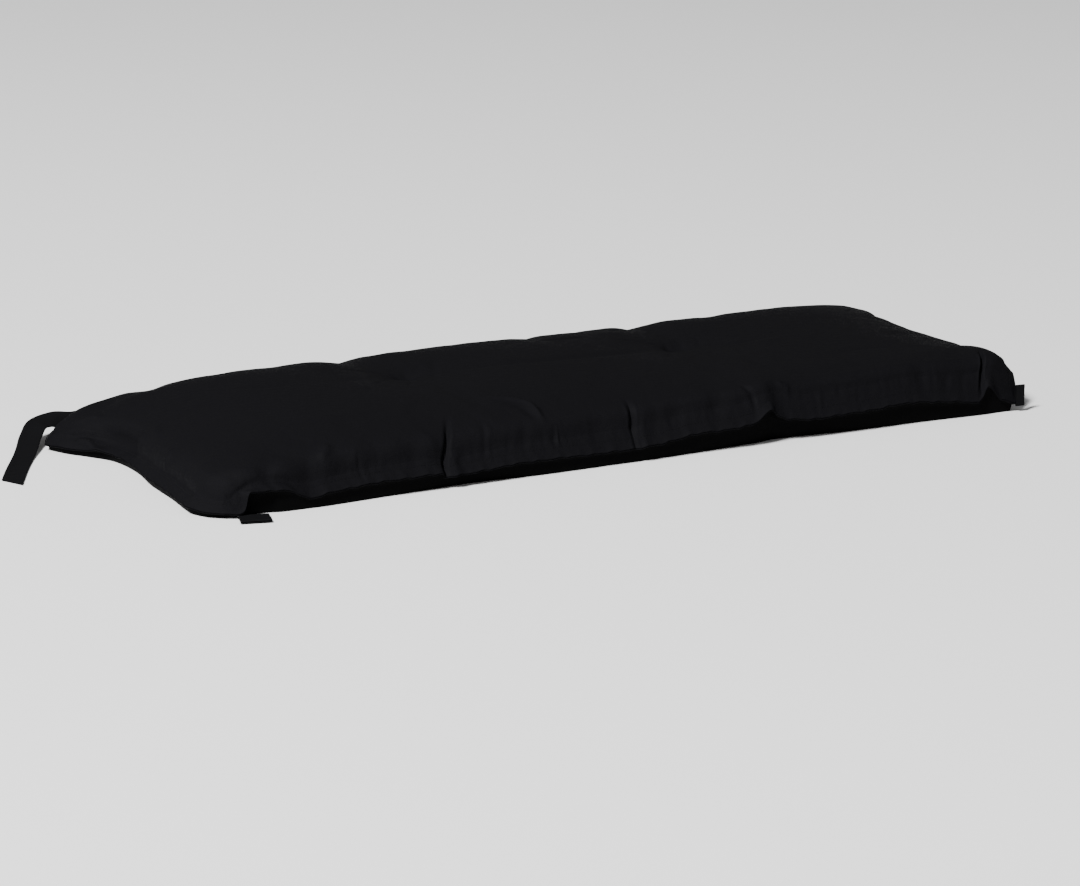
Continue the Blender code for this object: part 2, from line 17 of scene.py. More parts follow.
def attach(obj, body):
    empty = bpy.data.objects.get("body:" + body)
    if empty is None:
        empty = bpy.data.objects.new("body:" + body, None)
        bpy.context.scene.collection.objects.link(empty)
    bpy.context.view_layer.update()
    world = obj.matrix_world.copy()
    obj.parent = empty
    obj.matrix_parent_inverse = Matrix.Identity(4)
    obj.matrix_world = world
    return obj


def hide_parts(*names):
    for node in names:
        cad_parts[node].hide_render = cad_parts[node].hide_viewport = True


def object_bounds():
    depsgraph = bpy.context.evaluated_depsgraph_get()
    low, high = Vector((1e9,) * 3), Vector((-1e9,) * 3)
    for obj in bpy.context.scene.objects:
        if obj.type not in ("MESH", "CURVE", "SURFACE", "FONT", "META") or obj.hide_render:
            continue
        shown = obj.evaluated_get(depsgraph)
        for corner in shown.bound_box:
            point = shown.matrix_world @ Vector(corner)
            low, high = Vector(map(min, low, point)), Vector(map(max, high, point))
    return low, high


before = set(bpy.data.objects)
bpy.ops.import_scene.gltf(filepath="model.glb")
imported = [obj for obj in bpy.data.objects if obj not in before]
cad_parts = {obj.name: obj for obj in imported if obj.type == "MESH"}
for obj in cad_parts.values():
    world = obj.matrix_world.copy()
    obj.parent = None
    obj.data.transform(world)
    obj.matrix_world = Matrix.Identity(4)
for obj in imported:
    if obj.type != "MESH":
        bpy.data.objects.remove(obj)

model_low, model_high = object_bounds()
print("model box in mm:", [round(1000 * (b - a), 1) for a, b in zip(model_low, model_high)])

# %% [markdown]
# ## Camera
#
# A product photo is taken from a few metres away with a long lens, so its lines hardly converge. The
# camera is turned in three steps that are easy to read: round the upright axis, down, and a slight
# roll. The lens is written as a focal length in pixels and turned into millimetres on the sensor.
# %% Camera
IMAGE_WIDTH = 1080
SENSOR_WIDTH_MM = 36.0
FOCAL_PIXELS = 3916.1
CAMERA_PLACE = (-2.1920, -4.3753, 1.2743)
CAMERA_TURN = math.radians(-26.405)
CAMERA_DOWN = math.radians(14.878)
CAMERA_ROLL = math.radians(-0.362)
NEAR_CLIP = 0.05
FAR_CLIP = 100.0


def placed(name, data):
    """A new object of the data, linked to the scene."""
    made = bpy.data.objects.new(name, data)
    bpy.context.scene.collection.objects.link(made)
    return made


def make_camera():
    """The camera at the photo's place and angle."""
    data = bpy.data.cameras.new("camera")
    data.sensor_width = SENSOR_WIDTH_MM
    data.lens = FOCAL_PIXELS * SENSOR_WIDTH_MM / IMAGE_WIDTH
    data.clip_start = NEAR_CLIP
    data.clip_end = FAR_CLIP
    camera = placed("camera", data)
    turn = Matrix.Rotation(CAMERA_TURN, 4, "Z")
    tilt = Matrix.Rotation(math.pi / 2 - CAMERA_DOWN, 4, "X")
    roll = Matrix.Rotation(CAMERA_ROLL, 4, "Z")
    camera.matrix_world = Matrix.Translation(CAMERA_PLACE) @ turn @ tilt @ roll
    bpy.context.scene.camera = camera
    return camera


camera = make_camera()
print("lens in mm:", round(camera.data.lens, 2))

# %% [markdown]
# ## Floor and light
#
# Black cloth shows its folds only where the light grazes them. One soft light stands high at the front
# left, so the folds cast short shadows to the right. At eleven metres the light still falls off a
# little towards the right end, as in a small studio, and leaves the floor nearly even. A weak one from
# the right and a pale sky keep the shadows open.
# %% Floor and light
FLOOR_SIZE = 40.0
FLOOR_DROP = 0.0003
FLOOR_COLOUR = (0.86, 0.86, 0.86, 1.0)
FLOOR_ROUGHNESS = 0.9
FLOOR_GLOSS = 0.1
SKY_COLOUR = (1.0, 1.0, 1.0, 1.0)
SKY_STRENGTH = 0.22
LIGHTS = {
    # name: (place, side in metres, watts)
    "key_light": ((-6.8, -3.7, 7.8), 1.8, 2900.0),
    "fill_light": ((8.0, -8.4, 5.2), 5.2, 90.0),
}


def dull_material(name, roughness, gloss):
    """A new material with its roughness and gloss. Returns it with its tree and shader."""
    material = bpy.data.materials.new(name)
    material.use_nodes = True
    shader = material.node_tree.nodes["Principled BSDF"]
    shader.inputs["Roughness"].default_value = roughness
    shader.inputs["Specular IOR Level"].default_value = gloss
    return material, material.node_tree, shader


def make_floor():
    """A large pale floor, a hair under the cushion's flat underside."""
    half = FLOOR_SIZE / 2
    corners = [(-half, -half), (half, -half), (half, half), (-half, half)]
    data = bpy.data.meshes.new("floor")
    data.from_pydata([(x, y, -FLOOR_DROP) for x, y in corners], [], [(0, 1, 2, 3)])
    material, _, shader = dull_material("pale_floor", FLOOR_ROUGHNESS, FLOOR_GLOSS)
    shader.inputs["Base Color"].default_value = FLOOR_COLOUR
    data.materials.append(material)
    floor = placed("floor", data)


def make_lights():
    """Square soft lights that all face the middle of the cushion."""
    middle = (model_low + model_high) / 2
    for name, (place, side, watts) in LIGHTS.items():
        data = bpy.data.lights.new(name, "AREA")
        data.shape = "SQUARE"
        data.size = side
        data.energy = watts
        light = placed(name, data)
        light.location = place
        light.rotation_euler = (middle - Vector(place)).to_track_quat("-Z", "Y").to_euler()


def make_sky():
    """An even pale surrounding."""
    world = bpy.data.worlds.new("pale_sky")
    world.use_nodes = True
    background = world.node_tree.nodes["Background"]
    background.inputs["Color"].default_value = SKY_COLOUR
    background.inputs["Strength"].default_value = SKY_STRENGTH
    bpy.context.scene.world = world


make_floor()
make_lights()
make_sky()
print("lights:", len(LIGHTS))

# %% [markdown]
# ## The seam
#
# Everything about a sewn pad starts at its seam. Each side is a short table of places along the side,
# how far the seam stands out from the nominal side there, and how high it lies. A smooth curve runs
# through the rows without overshooting. The surface that the four curves span is a Coons patch: the
# sum of the two blends between opposite sides, less the blend of the four corners. Where the front
# flange stands up in a small tent, the filling behind it stays even, so short rises fade inwards.
# %% Sizes of the pad
HALF_LENGTH = 0.580
HALF_DEPTH = 0.230
CROWN_REACH = 0.211
CROWN_FULLNESS = 2.9
FLANGE = 0.013
FLANGE_RISE = 0.011
EDGE_THICK = 0.003
TINY = 1e-9

# %% The four sides of the seam
FRONT_SEAM = (
    # along,  out,    high
    (-0.548, -0.010, 0.0063),
    (-0.531, -0.003, 0.0063),
    (-0.5225, -0.001, 0.0100),
    (-0.5190, -0.001, 0.0250),
    (-0.5140, -0.001, 0.0315),
    (-0.495, -0.001, 0.0305),
    (-0.469, -0.001, 0.0275),
    (-0.453, -0.001, 0.0215),
    (-0.437, -0.001, 0.0145),
    (-0.417, -0.001, 0.0172),
    (-0.398, -0.002, 0.0190),
    (-0.330, -0.003, 0.0220),
    (-0.266, -0.003, 0.0220),
    (-0.252, -0.004, 0.0165),
    (-0.147, -0.004, 0.0215),
    (-0.020, -0.005, 0.0195),
    (0.030, -0.004, 0.0210),
    (0.088, -0.003, 0.0285),
    (0.124, -0.002, 0.0292),
    (0.161, -0.001, 0.0310),
    (0.173, -0.001, 0.0345),
    (0.183, -0.001, 0.0415),
    (0.194, -0.002, 0.0480),
    (0.202, -0.004, 0.0395),
    (0.217, -0.005, 0.0322),
    (0.236, -0.004, 0.0290),
    (0.273, -0.003, 0.0272),
    (0.302, -0.002, 0.0286),
    (0.350, -0.002, 0.0292),
    (0.380, -0.002, 0.0322),
    (0.431, -0.002, 0.0292),
    (0.478, -0.002, 0.0236),
    (0.501, -0.002, 0.0200),
    (0.516, -0.002, 0.0385),
    (0.536, -0.003, 0.0205),
    (0.559, -0.004, 0.0120),
)
LEFT_SEAM = (
    (-0.220, -0.032, 0.0063),
    (-0.203, -0.013, 0.0072),
    (-0.175, -0.001, 0.0110),
    (-0.100, -0.004, 0.0120),
    (-0.050, -0.004, 0.0120),
    (0.025, -0.010, 0.0120),
    (0.085, -0.004, 0.0120),
    (0.122, 0.017, 0.0110),
    (0.150, 0.036, 0.0090),
    (0.178, 0.048, 0.0080),
)
BACK_SEAM = (
    (-0.628, -0.052, 0.0080),
    (-0.612, -0.022, 0.0110),
    (-0.585, -0.005, 0.0150),
    (-0.540, 0.001, 0.0190),
    (-0.430, -0.002, 0.0220),
    (-0.250, -0.005, 0.0210),
    (-0.060, -0.007, 0.0230),
    (0.150, -0.006, 0.0220),
    (0.340, -0.003, 0.0240),
    (0.480, 0.000, 0.0220),
    (0.560, 0.002, 0.0180),
    (0.594, -0.008, 0.0150),
    (0.606, -0.026, 0.0130),
)
RIGHT_SEAM = (
    (-0.226, -0.021, 0.0120),
    (-0.217, -0.016, 0.0300),
    (-0.203, -0.012, 0.0460),
    (-0.172, -0.005, 0.0450),
    (-0.120, -0.004, 0.0300),
    (-0.055, -0.004, 0.0210),
    (0.020, -0.006, 0.0170),
    (0.110, 0.002, 0.0150),
    (0.165, 0.013, 0.0140),
    (0.204, 0.026, 0.0130),
)


def side_points(table, side):
    """The table's rows as x, y, z."""
    rows = np.array(table)
    along, out, high = rows.T
    if side in ("front", "back"):
        away = (HALF_DEPTH + out) * (1 if side == "back" else -1)
        return np.stack([along, away, high], axis=1)
    away = (HALF_LENGTH + out) * (1 if side == "right" else -1)
    return np.stack([away, along, high], axis=1)


# %% A smooth curve through rows
STEEPEST = 2.5
LINE_POINTS = 400


def eased(share):
    """A share from 0 to 1 that starts and ends gently."""
    return share ** 2 * (3 - 2 * share)


def stretch_of(knots, places):
    """Which stretch between two knots each place is in."""
    return np.clip(np.searchsorted(knots, places, side="right") - 1, 0, len(knots) - 2)


def smooth_through(rows, shares):
    """Points on a smooth curve through the rows, at the given shares of its length."""
    rows = np.asarray(rows, dtype=float)
    chords = np.linalg.norm(np.diff(rows[:, :2], axis=0), axis=1)
    knots = np.concatenate([[0.0], np.cumsum(chords)]) / chords.sum()
    steps = np.diff(rows, axis=0) / np.diff(knots)[:, None]
    slopes = np.gradient(rows, knots, axis=0)
    before, after = steps[:-1], steps[1:]
    limit = STEEPEST * np.minimum(abs(before), abs(after))
    inner = np.sign(before) * np.minimum(abs(slopes[1:-1]), limit)
    slopes[1:-1] = np.where(before * after > 0, inner, 0.0)
    shares = np.clip(np.asarray(shares, dtype=float), 0.0, 1.0)
    cell = stretch_of(knots, shares)
    width = (knots[cell + 1] - knots[cell])[:, None]
    t = (shares[:, None] - knots[cell][:, None]) / width
    start = (2 * t ** 3 - 3 * t ** 2 + 1) * rows[cell] + (t ** 3 - 2 * t ** 2 + t) * width * slopes[cell]
    end = (3 * t ** 2 - 2 * t ** 3) * rows[cell + 1] + (t ** 3 - t ** 2) * width * slopes[cell + 1]
    return start + end


def smooth_line(rows, places):
    """A value that runs smoothly through the rows (place, value), read at the given places."""
    fine = smooth_through([(place, value, 0.0) for place, value in rows], np.linspace(0, 1, LINE_POINTS))
    return np.interp(places, fine[:, 0], fine[:, 1])


# %% The patch that the seam spans
EVENING_WIDTH = 0.022
EVENING_REACH = 0.006
EVENING_ENDS = 0.03


def sharp_relief(line, us):
    """How far a side's short rises and dips stand above its evened height."""
    apart = (line[:, None, 0] - line[None, :, 0]) / EVENING_WIDTH
    weights = np.exp(-apart ** 2) * np.gradient(line[:, 0])
    evened = weights @ line[:, 2] / weights.sum(axis=1)
    return (line[:, 2] - evened) * np.clip(np.minimum(us, 1 - us) / EVENING_ENDS, 0.0, 1.0)


def between_corners(u, v, front_left, front_right, back_left, back_right):
    """What each corner has, blended over the pad."""
    return ((1 - u) * (1 - v) * front_left + u * (1 - v) * front_right
            + (1 - u) * v * back_left + u * v * back_right)


def seam_patch(us, vs):
    """A grid of x, y and seam height, filled in between the four sides of the seam."""
    front = smooth_through(side_points(FRONT_SEAM, "front"), us)
    back = smooth_through(side_points(BACK_SEAM, "back"), us)
    left = smooth_through(side_points(LEFT_SEAM, "left"), vs)
    right = smooth_through(side_points(RIGHT_SEAM, "right"), vs)
    u = us[:, None, None]
    v = vs[None, :, None]
    between_long_sides = (1 - v) * front[:, None, :] + v * back[:, None, :]
    between_short_sides = (1 - u) * left[None, :, :] + u * right[None, :, :]
    grid = between_long_sides + between_short_sides
    grid -= between_corners(u, v, front[0], front[-1], back[0], back[-1])
    inside = 2 * HALF_DEPTH * vs
    evening = (1 - vs) * (1 - np.exp(-(inside / EVENING_REACH) ** 2))
    grid[:, :, 2] -= sharp_relief(front, us)[:, None] * evening
    return grid


# %% [markdown]
# ## The filled body
#
# Inside the flange the filling pushes the cloth up: steeply at first, then flatter towards the
# crown. A superellipse gives that full, round shoulder. The corners are filled unevenly, and the
# crown's height changes along the pad.
# %% Crown and corners
CROWN_LINE = (
    # along, high
    (-0.600, 0.054),
    (-0.520, 0.066),
    (-0.450, 0.077),
    (-0.360, 0.084),
    (-0.185, 0.085),
    (-0.060, 0.0868),
    (0.020, 0.0850),
    (0.200, 0.081),
    (0.400, 0.081),
    (0.500, 0.078),
    (0.600, 0.071),
)
CORNER_FULL = {"front_left": 0.3, "front_right": 0.8, "back_left": -0.8, "back_right": 0.2}


def rise(distance):
    """Share of the crown at a distance inside the seam."""
    inside = np.clip((distance - FLANGE) / CROWN_REACH, 0.0, 1.0)
    return (1 - (1 - inside) ** CROWN_FULLNESS) ** (1 / CROWN_FULLNESS)


def running_length(grid, axis):
    """Length along the grid's lines, counted from their start."""
    steps = np.linalg.norm(np.diff(grid, axis=axis), axis=2)
    start = np.zeros_like(np.take(steps, [0], axis=axis))
    return np.concatenate([start, np.cumsum(steps, axis=axis)], axis=axis)


def distances(grid):
    """Length along the grid's lines from the front, back, left and right sides."""
    front = running_length(grid, 1)
    left = running_length(grid, 0)
    return {"front": front, "back": front[:, -1:] - front, "left": left, "right": left[-1:, :] - left}


def nearest_side(away):
    """Length to the nearest of the four sides."""
    return np.minimum(np.minimum(away["front"], away["back"]), np.minimum(away["left"], away["right"]))


def filled_body(patch, us, vs):
    """The crowned top panel over the patch."""
    away = distances(patch[:, :, :2])
    over_depth = rise(np.minimum(away["front"], away["back"]))
    over_length = rise(np.minimum(away["left"], away["right"]))
    u, v = us[:, None], vs[None, :]
    full = between_corners(u, v, **CORNER_FULL)
    thin = over_depth * over_length
    share = thin + full * (np.minimum(over_depth, over_length) - thin)
    nearest = nearest_side(away)
    crown = smooth_line(CROWN_LINE, patch[:, :, 0]) - patch[:, :, 2] - FLANGE_RISE
    grid = patch.copy()
    grid[:, :, 2] += EDGE_THICK / 2 + FLANGE_RISE * np.clip(nearest / FLANGE, 0, 1) + crown * share
    return grid, share, nearest


# %% [markdown]
# ## Folds
#
# Four kinds of fold lie on the real pad. Tufts are pits in wide dishes, with short creases round
# them. Folds start at the seam, where the longer top panel was eased onto the shorter bottom one:
# a few deep tucks with sharp valleys, and between them fine, uneven gathers. Creases and pinched
# ridges lie free on the shoulder. A cloth simulation then adds the soft unevenness that no table
# gives. Tufts draw the panel straight down. The other kinds add up to one map of depths, which is
# pushed in along the cloth's normals.
# %% Folds that start at the seam
SEAM_FOLDS = {
    # along, reach, lean, depth, half, sharp, foot
    "front": (
        (-0.492, 0.050, 0.012, 0.0036, 0.0100, 0.0, 0.3),
        (-0.436, 0.060, 0.006, 0.0034, 0.0110, 0.0, 0.3),
        (-0.392, 0.055, -0.002, 0.0014, 0.0090, 0.0, 0.3),
        (-0.350, 0.070, 0.008, 0.0012, 0.0090, 0.0, 0.3),
        (-0.300, 0.050, 0.000, 0.0018, 0.0090, 0.0, 0.3),
        (-0.2575, 0.080, 0.028, 0.0105, 0.0024, 1.0, 0.8),
        (-0.2460, 0.028, 0.004, -0.0028, 0.0070, 0.0, 0.9),
        (-0.2790, 0.060, 0.022, -0.0012, 0.0080, 0.0, 0.4),
        (-0.150, 0.046, 0.007, 0.0018, 0.0046, 0.2, 0.1),
        (-0.107, 0.034, 0.002, 0.0012, 0.0028, 0.6, 0.1),
        (-0.045, 0.050, -0.004, 0.0020, 0.0100, 0.0, 0.3),
        (0.0020, 0.062, 0.004, 0.0070, 0.0026, 1.0, 0.4),
        (0.0160, 0.050, 0.006, -0.0022, 0.0070, 0.0, 0.9),
        (0.062, 0.045, 0.006, 0.0022, 0.0100, 0.0, 0.3),
        (0.118, 0.050, 0.012, 0.0026, 0.0100, 0.0, 0.3),
        (0.2080, 0.036, 0.008, 0.0014, 0.0110, 0.0, 0.5),
        (0.297, 0.042, 0.003, 0.0008, 0.0030, 0.4, 0.1),
        (0.420, 0.055, 0.004, 0.0020, 0.0090, 0.0, 0.3),
        (0.456, 0.026, 0.002, 0.0020, 0.0036, 0.3, 0.1),
        (0.480, 0.030, 0.002, 0.0012, 0.0036, 0.3, 0.1),
        (0.5080, 0.066, 0.029, 0.0100, 0.0028, 1.0, 0.3),
        (0.5210, 0.050, 0.024, -0.0012, 0.0060, 0.0, 0.6),
    ),
    "back": (
        (-0.480, 0.090, 0.004, 0.0035, 0.0140, 0.0, 0.3),
        (-0.330, 0.080, -0.006, 0.0020, 0.0140, 0.0, 0.3),
        (-0.228, 0.250, 0.030, 0.0060, 0.0240, 0.2, 0.3),
        (-0.100, 0.090, 0.006, 0.0010, 0.0140, 0.0, 0.3),
        (0.040, 0.170, 0.004, 0.0036, 0.0120, 0.3, 0.3),
        (0.210, 0.250, 0.002, 0.0065, 0.0220, 0.2, 0.3),
        (0.330, 0.090, -0.006, 0.0030, 0.0140, 0.0, 0.3),
        (0.470, 0.080, 0.006, 0.0030, 0.0140, 0.0, 0.3),
    ),
    "left": (
        (-0.140, 0.060, 0.000, 0.0026, 0.0120, 0.0, 0.3),
        (-0.078, 0.055, 0.008, -0.0014, 0.0060, 0.0, 0.2),
        (-0.020, 0.055, 0.000, 0.0026, 0.0120, 0.0, 0.3),
        (0.014, 0.060, 0.014, -0.0014, 0.0070, 0.0, 0.2),
    ),
    "right": (
        (-0.120, 0.060, 0.000, 0.0026, 0.0120, 0.0, 0.3),
        (0.010, 0.055, 0.000, 0.0026, 0.0120, 0.0, 0.3),
        (0.120, 0.070, 0.000, 0.0036, 0.0140, 0.0, 0.3),
    ),
}
WIDENING = 0.5
LEAN_CURVE = 1.4
BANK_HEIGHT = 0.16
BANK_PLACE = 1.9
BANK_SPREAD = 0.6
RISE_SHARE = 0.30


def valley(across, sharp):
    """Depth across a fold, as a share: round where sharp is 0, and pointed where it is 1."""
    return (1 - sharp) * np.exp(-across ** 2) + sharp * np.exp(-across)


def seam_fold(over, place, row):
    """Depth of one fold that starts at the seam and fades out up the panel."""
    along, reach, lean, depth, half, sharp, foot = row
    share = np.clip(over / reach, 0.0, 1.0)
    across = np.abs(place - along - lean * share ** LEAN_CURVE) / (half * (1 + WIDENING * share))
    bank = BANK_HEIGHT * np.exp(-(across - BANK_PLACE) ** 2 / BANK_SPREAD)
    grown = foot + (1 - foot) * np.clip(share / RISE_SHARE, 0.0, 1.0)
    left_over = np.clip((1 - share) / (1 - RISE_SHARE), 0.0, 1.0)
    return depth * (valley(across, sharp) - bank) * grown * eased(left_over)


# %% [markdown]
# The grid's lines should lie evenly over the cloth, also where it climbs steeply from the flange. So
# the middle line of the pad is measured both ways on a dense trial line, and the final lines are put
# at equal lengths over the cloth. Where a sharp tuck runs, its length counts several times, which
# crowds the columns there and leaves the fold enough points for its narrow valley. At last each line
# moves a little towards the middle of its neighbours, so that no two lie on each other where the
# flange meets the steep foot of the filling.
# %% Where the grid's lines go
COLUMNS = 560
ROWS = 138
TRIAL_STEPS = 6000
TRIAL_CROWDING = 0.97
SHARP_LIMIT = 0.5
CREASE_CROWDING = 2.4
CREASE_ZONE = 0.011
MIDDLE_HEIGHT = 0.065


def crowded_shares(count, crowding):
    """Shares from 0 to 1 whose steps grow smaller towards both ends."""
    even = np.linspace(-1.0, 1.0, count + 1)
    return 0.5 + 0.5 * ((1 - crowding) * even + crowding * np.sin(even * math.pi / 2))


def evened_shares(size, count, crowded_at=()):
    """Shares at equal lengths over the cloth along one line across the pad."""
    shares = crowded_shares(TRIAL_STEPS, TRIAL_CROWDING)
    along = shares * size
    nearest = np.minimum(along, size - along)
    high = FLANGE_RISE * np.clip(nearest / FLANGE, 0, 1) + MIDDLE_HEIGHT * rise(nearest)
    steps = np.hypot(np.diff(along), np.diff(high))
    for place in crowded_at:
        steps = steps * (1 + CREASE_CROWDING * np.exp(-((along[1:] - place) / CREASE_ZONE) ** 2))
    over = np.concatenate([[0.0], np.cumsum(steps)])
    evened = np.interp(np.linspace(0, over[-1], count + 1), over, shares)
    evened[1:-1] = (evened[:-2] + 2 * evened[1:-1] + evened[2:]) / 4
    return evened


tucks = [along + lean / 2 + HALF_LENGTH for along, _, lean, _, _, sharp, _ in SEAM_FOLDS["front"]
         if sharp > SHARP_LIMIT]
us = evened_shares(2 * HALF_LENGTH, COLUMNS, tucks)
vs = evened_shares(2 * HALF_DEPTH, ROWS)
patch = seam_patch(us, vs)
body, body_share, _ = filled_body(patch, us, vs)
print("grid:", body.shape, "crown height in mm:", round(1000 * float(body[:, :, 2].max()), 1))

# %% Tufts
TUFTS = (
    # x,      y,      pit,    pit_radius, dish,   dish_radius
    (-0.185, 0.045, 0.0110, 0.022, 0.0070, 0.085),
    (0.200, 0.032, 0.0110, 0.022, 0.0070, 0.085),
)
PIT_FALL = 1.5


def tufted(x, y):
    """How far the tufts draw the panel down at x, y."""
    drop = np.zeros_like(x)
    for centre_x, centre_y, pit, pit_radius, dish, dish_radius in TUFTS:
        away = np.hypot(x - centre_x, y - centre_y)
        drop += pit / (1 + (away / pit_radius) ** 2) ** PIT_FALL
        drop += dish * np.exp(-(away / dish_radius) ** 2)
    return drop


# %% Free creases and ridges
CREASES = (
    # depth,  half,  sharp, points x, y along the crease; a depth below 0 is a ridge
    (-0.0040, 0.0042, 0.0, ((-0.168, -0.133), (-0.146, -0.141), (-0.129, -0.155), (-0.119, -0.174),
                            (-0.118, -0.194), (-0.119, -0.214))),
    (0.0014, 0.0050, 0.0, ((-0.146, -0.156), (-0.136, -0.170), (-0.130, -0.190), (-0.127, -0.208))),
    (0.0020, 0.0120, 0.2, ((-0.185, 0.045), (-0.120, 0.016), (-0.040, -0.002), (0.050, -0.006),
                           (0.130, 0.004), (0.200, 0.032))),
    (0.0020, 0.0080, 0.5, ((0.200, 0.032), (0.226, 0.026), (0.262, -0.002), (0.330, -0.018))),
    (-0.0014, 0.0090, 0.0, ((0.246, 0.014), (0.290, -0.012), (0.340, -0.034))),
    (-0.0014, 0.0050, 0.0, ((-0.276, 0.022), (-0.273, -0.034))),
    (0.0014, 0.0045, 0.6, ((-0.176, 0.072), (-0.196, 0.010), (-0.224, -0.046))),
    (0.0014, 0.0045, 0.6, ((-0.128, 0.098), (-0.146, 0.050), (-0.174, -0.008))),
    (0.0012, 0.0045, 0.6, ((-0.148, 0.030), (-0.136, -0.004), (-0.127, -0.038))),
    (0.0012, 0.0045, 0.6, ((-0.196, 0.060), (-0.232, 0.084), (-0.262, 0.090))),
    (0.0010, 0.0045, 0.6, ((-0.200, 0.036), (-0.232, 0.016), (-0.256, -0.010))),
    (-0.0012, 0.0070, 0.0, ((-0.262, -0.098), (-0.246, -0.118))),
    (0.0014, 0.0045, 0.6, ((0.204, 0.080), (0.176, 0.010), (0.136, -0.066))),
    (0.0018, 0.0042, 0.6, ((0.222, 0.078), (0.214, 0.054), (0.207, 0.030))),
    (0.0016, 0.0042, 0.6, ((0.243, 0.066), (0.236, 0.044), (0.226, 0.024))),
    (0.0012, 0.0045, 0.6, ((0.184, 0.046), (0.156, 0.070), (0.130, 0.084))),
    (-0.0012, 0.0100, 0.0, ((-0.430, -0.100), (-0.360, -0.128), (-0.300, -0.120))),
    (0.0010, 0.0090, 0.3, ((0.330, -0.140), (0.380, -0.120), (0.440, -0.128))),
    (0.0010, 0.0090, 0.3, ((0.010, 0.126), (0.060, 0.104), (0.110, 0.102))),
    (0.0010, 0.0090, 0.3, ((-0.420, 0.066), (-0.380, 0.040), (-0.340, 0.034))),
    (0.0016, 0.0024, 0.5, ((-0.196, -0.198), (-0.199, -0.207), (-0.203, -0.220))),
    (-0.0006, 0.0020, 0.0, ((-0.188, -0.201), (-0.193, -0.211), (-0.197, -0.221))),
    (-0.0010, 0.0018, 0.0, ((-0.1015, -0.211), (-0.102, -0.218))),
    (0.0034, 0.0020, 0.7, ((0.162, -0.202), (0.167, -0.211), (0.173, -0.219), (0.174, -0.227))),
    (-0.0022, 0.0036, 0.0, ((0.211, -0.204), (0.219, -0.209), (0.230, -0.213))),
    (-0.0012, 0.0018, 0.0, ((0.270, -0.214), (0.269, -0.220), (0.268, -0.227))),
    (-0.0030, 0.0046, 0.0, ((-0.398, -0.196), (-0.408, -0.204), (-0.420, -0.215))),
    (-0.0012, 0.0022, 0.0, ((-0.370, -0.208), (-0.373, -0.213), (-0.375, -0.219))),
    (0.0018, 0.0024, 0.5, ((-0.374, -0.212), (-0.370, -0.218), (-0.365, -0.226))),
    (0.0080, 0.0088, 0.1, ((-0.588, 0.144), (-0.579, 0.124), (-0.570, 0.103), (-0.565, 0.084),
                           (-0.562, 0.056), (-0.558, 0.016))),
    (-0.0030, 0.0042, 0.0, ((-0.598, 0.163), (-0.590, 0.157), (-0.584, 0.153), (-0.577, 0.148),
                            (-0.564, 0.135))),
    (-0.0034, 0.0032, 0.0, ((-0.607, 0.140), (-0.598, 0.134), (-0.592, 0.127), (-0.588, 0.114),
                            (-0.584, 0.096))),
    (-0.0030, 0.0032, 0.0, ((-0.586, 0.108), (-0.583, 0.101), (-0.581, 0.093))),
    (-0.0030, 0.0034, 0.0, ((-0.549, 0.034), (-0.556, 0.024), (-0.562, 0.014))),
    (-0.0030, 0.0034, 0.0, ((-0.551, -0.065), (-0.557, -0.073), (-0.563, -0.082))),
    (-0.0012, 0.0050, 0.0, ((-0.533, 0.034), (-0.549, -0.010))),
)
CREASE_TIP = 0.28
CREASE_POINTS = 60
CREASE_WIDEST = 4.0


def crease_depth(x, y, depth, half, sharp, points):
    """Depth of one crease: it follows a smooth line through its points and fades out at both tips."""
    line = smooth_through([(a, b, 0.0) for a, b in points], np.linspace(0, 1, CREASE_POINTS))
    widest = CREASE_WIDEST * half
    near = ((x > line[:, 0].min() - widest) & (x < line[:, 0].max() + widest)
            & (y > line[:, 1].min() - widest) & (y < line[:, 1].max() + widest))
    away = np.hypot(x[near][:, None] - line[:, 0], y[near][:, None] - line[:, 1])
    share = np.argmin(away, axis=1) / (CREASE_POINTS - 1)
    across = away.min(axis=1) / half
    tip = np.clip(np.minimum(share, 1 - share) / CREASE_TIP, 0.0, 1.0)
    result = np.zeros_like(x)
    result[near] = depth * eased(tip) * valley(across, sharp)
    return result


# %% Fine gathers all along the seam, and short creases round the tufts
FINE_SEED = 11
FINE_PITCH = (0.006, 0.015)
FINE_REACH = (0.014, 0.040)
FINE_LEAN = 0.005
FINE_DEPTH = (0.0002, 0.0009)
FINE_HALF = (0.0022, 0.0040)
FINE_SHARP = 0.6
FINE_FOOT = 0.12
SIDE_SPANS = {
    "front": (-0.535, 0.550),
    "back": (-0.600, 0.590),
    "left": (-0.205, 0.165),
    "right": (-0.205, 0.190),
}
STAR_CREASES = 9
STAR_START = (0.004, 0.008)
STAR_REACH = (0.022, 0.048)
STAR_DEPTH = (0.0006, 0.0014)
STAR_HALF = (0.0022, 0.0034)
STAR_SHARP = 0.7
STAR_TURN = 0.25


def fine_gathers(rng):
    """Rows of small, uneven folds at an irregular pitch along every side."""
    rows = []
    for side, (start, end) in SIDE_SPANS.items():
        along = start
        while along < end:
            reach = rng.uniform(*FINE_REACH)
            lean = rng.uniform(-FINE_LEAN, FINE_LEAN)
            depth = rng.uniform(*FINE_DEPTH)
            rows.append((side, along, reach, lean, depth, rng.uniform(*FINE_HALF), FINE_SHARP, FINE_FOOT))
            along += rng.uniform(*FINE_PITCH)
    return rows


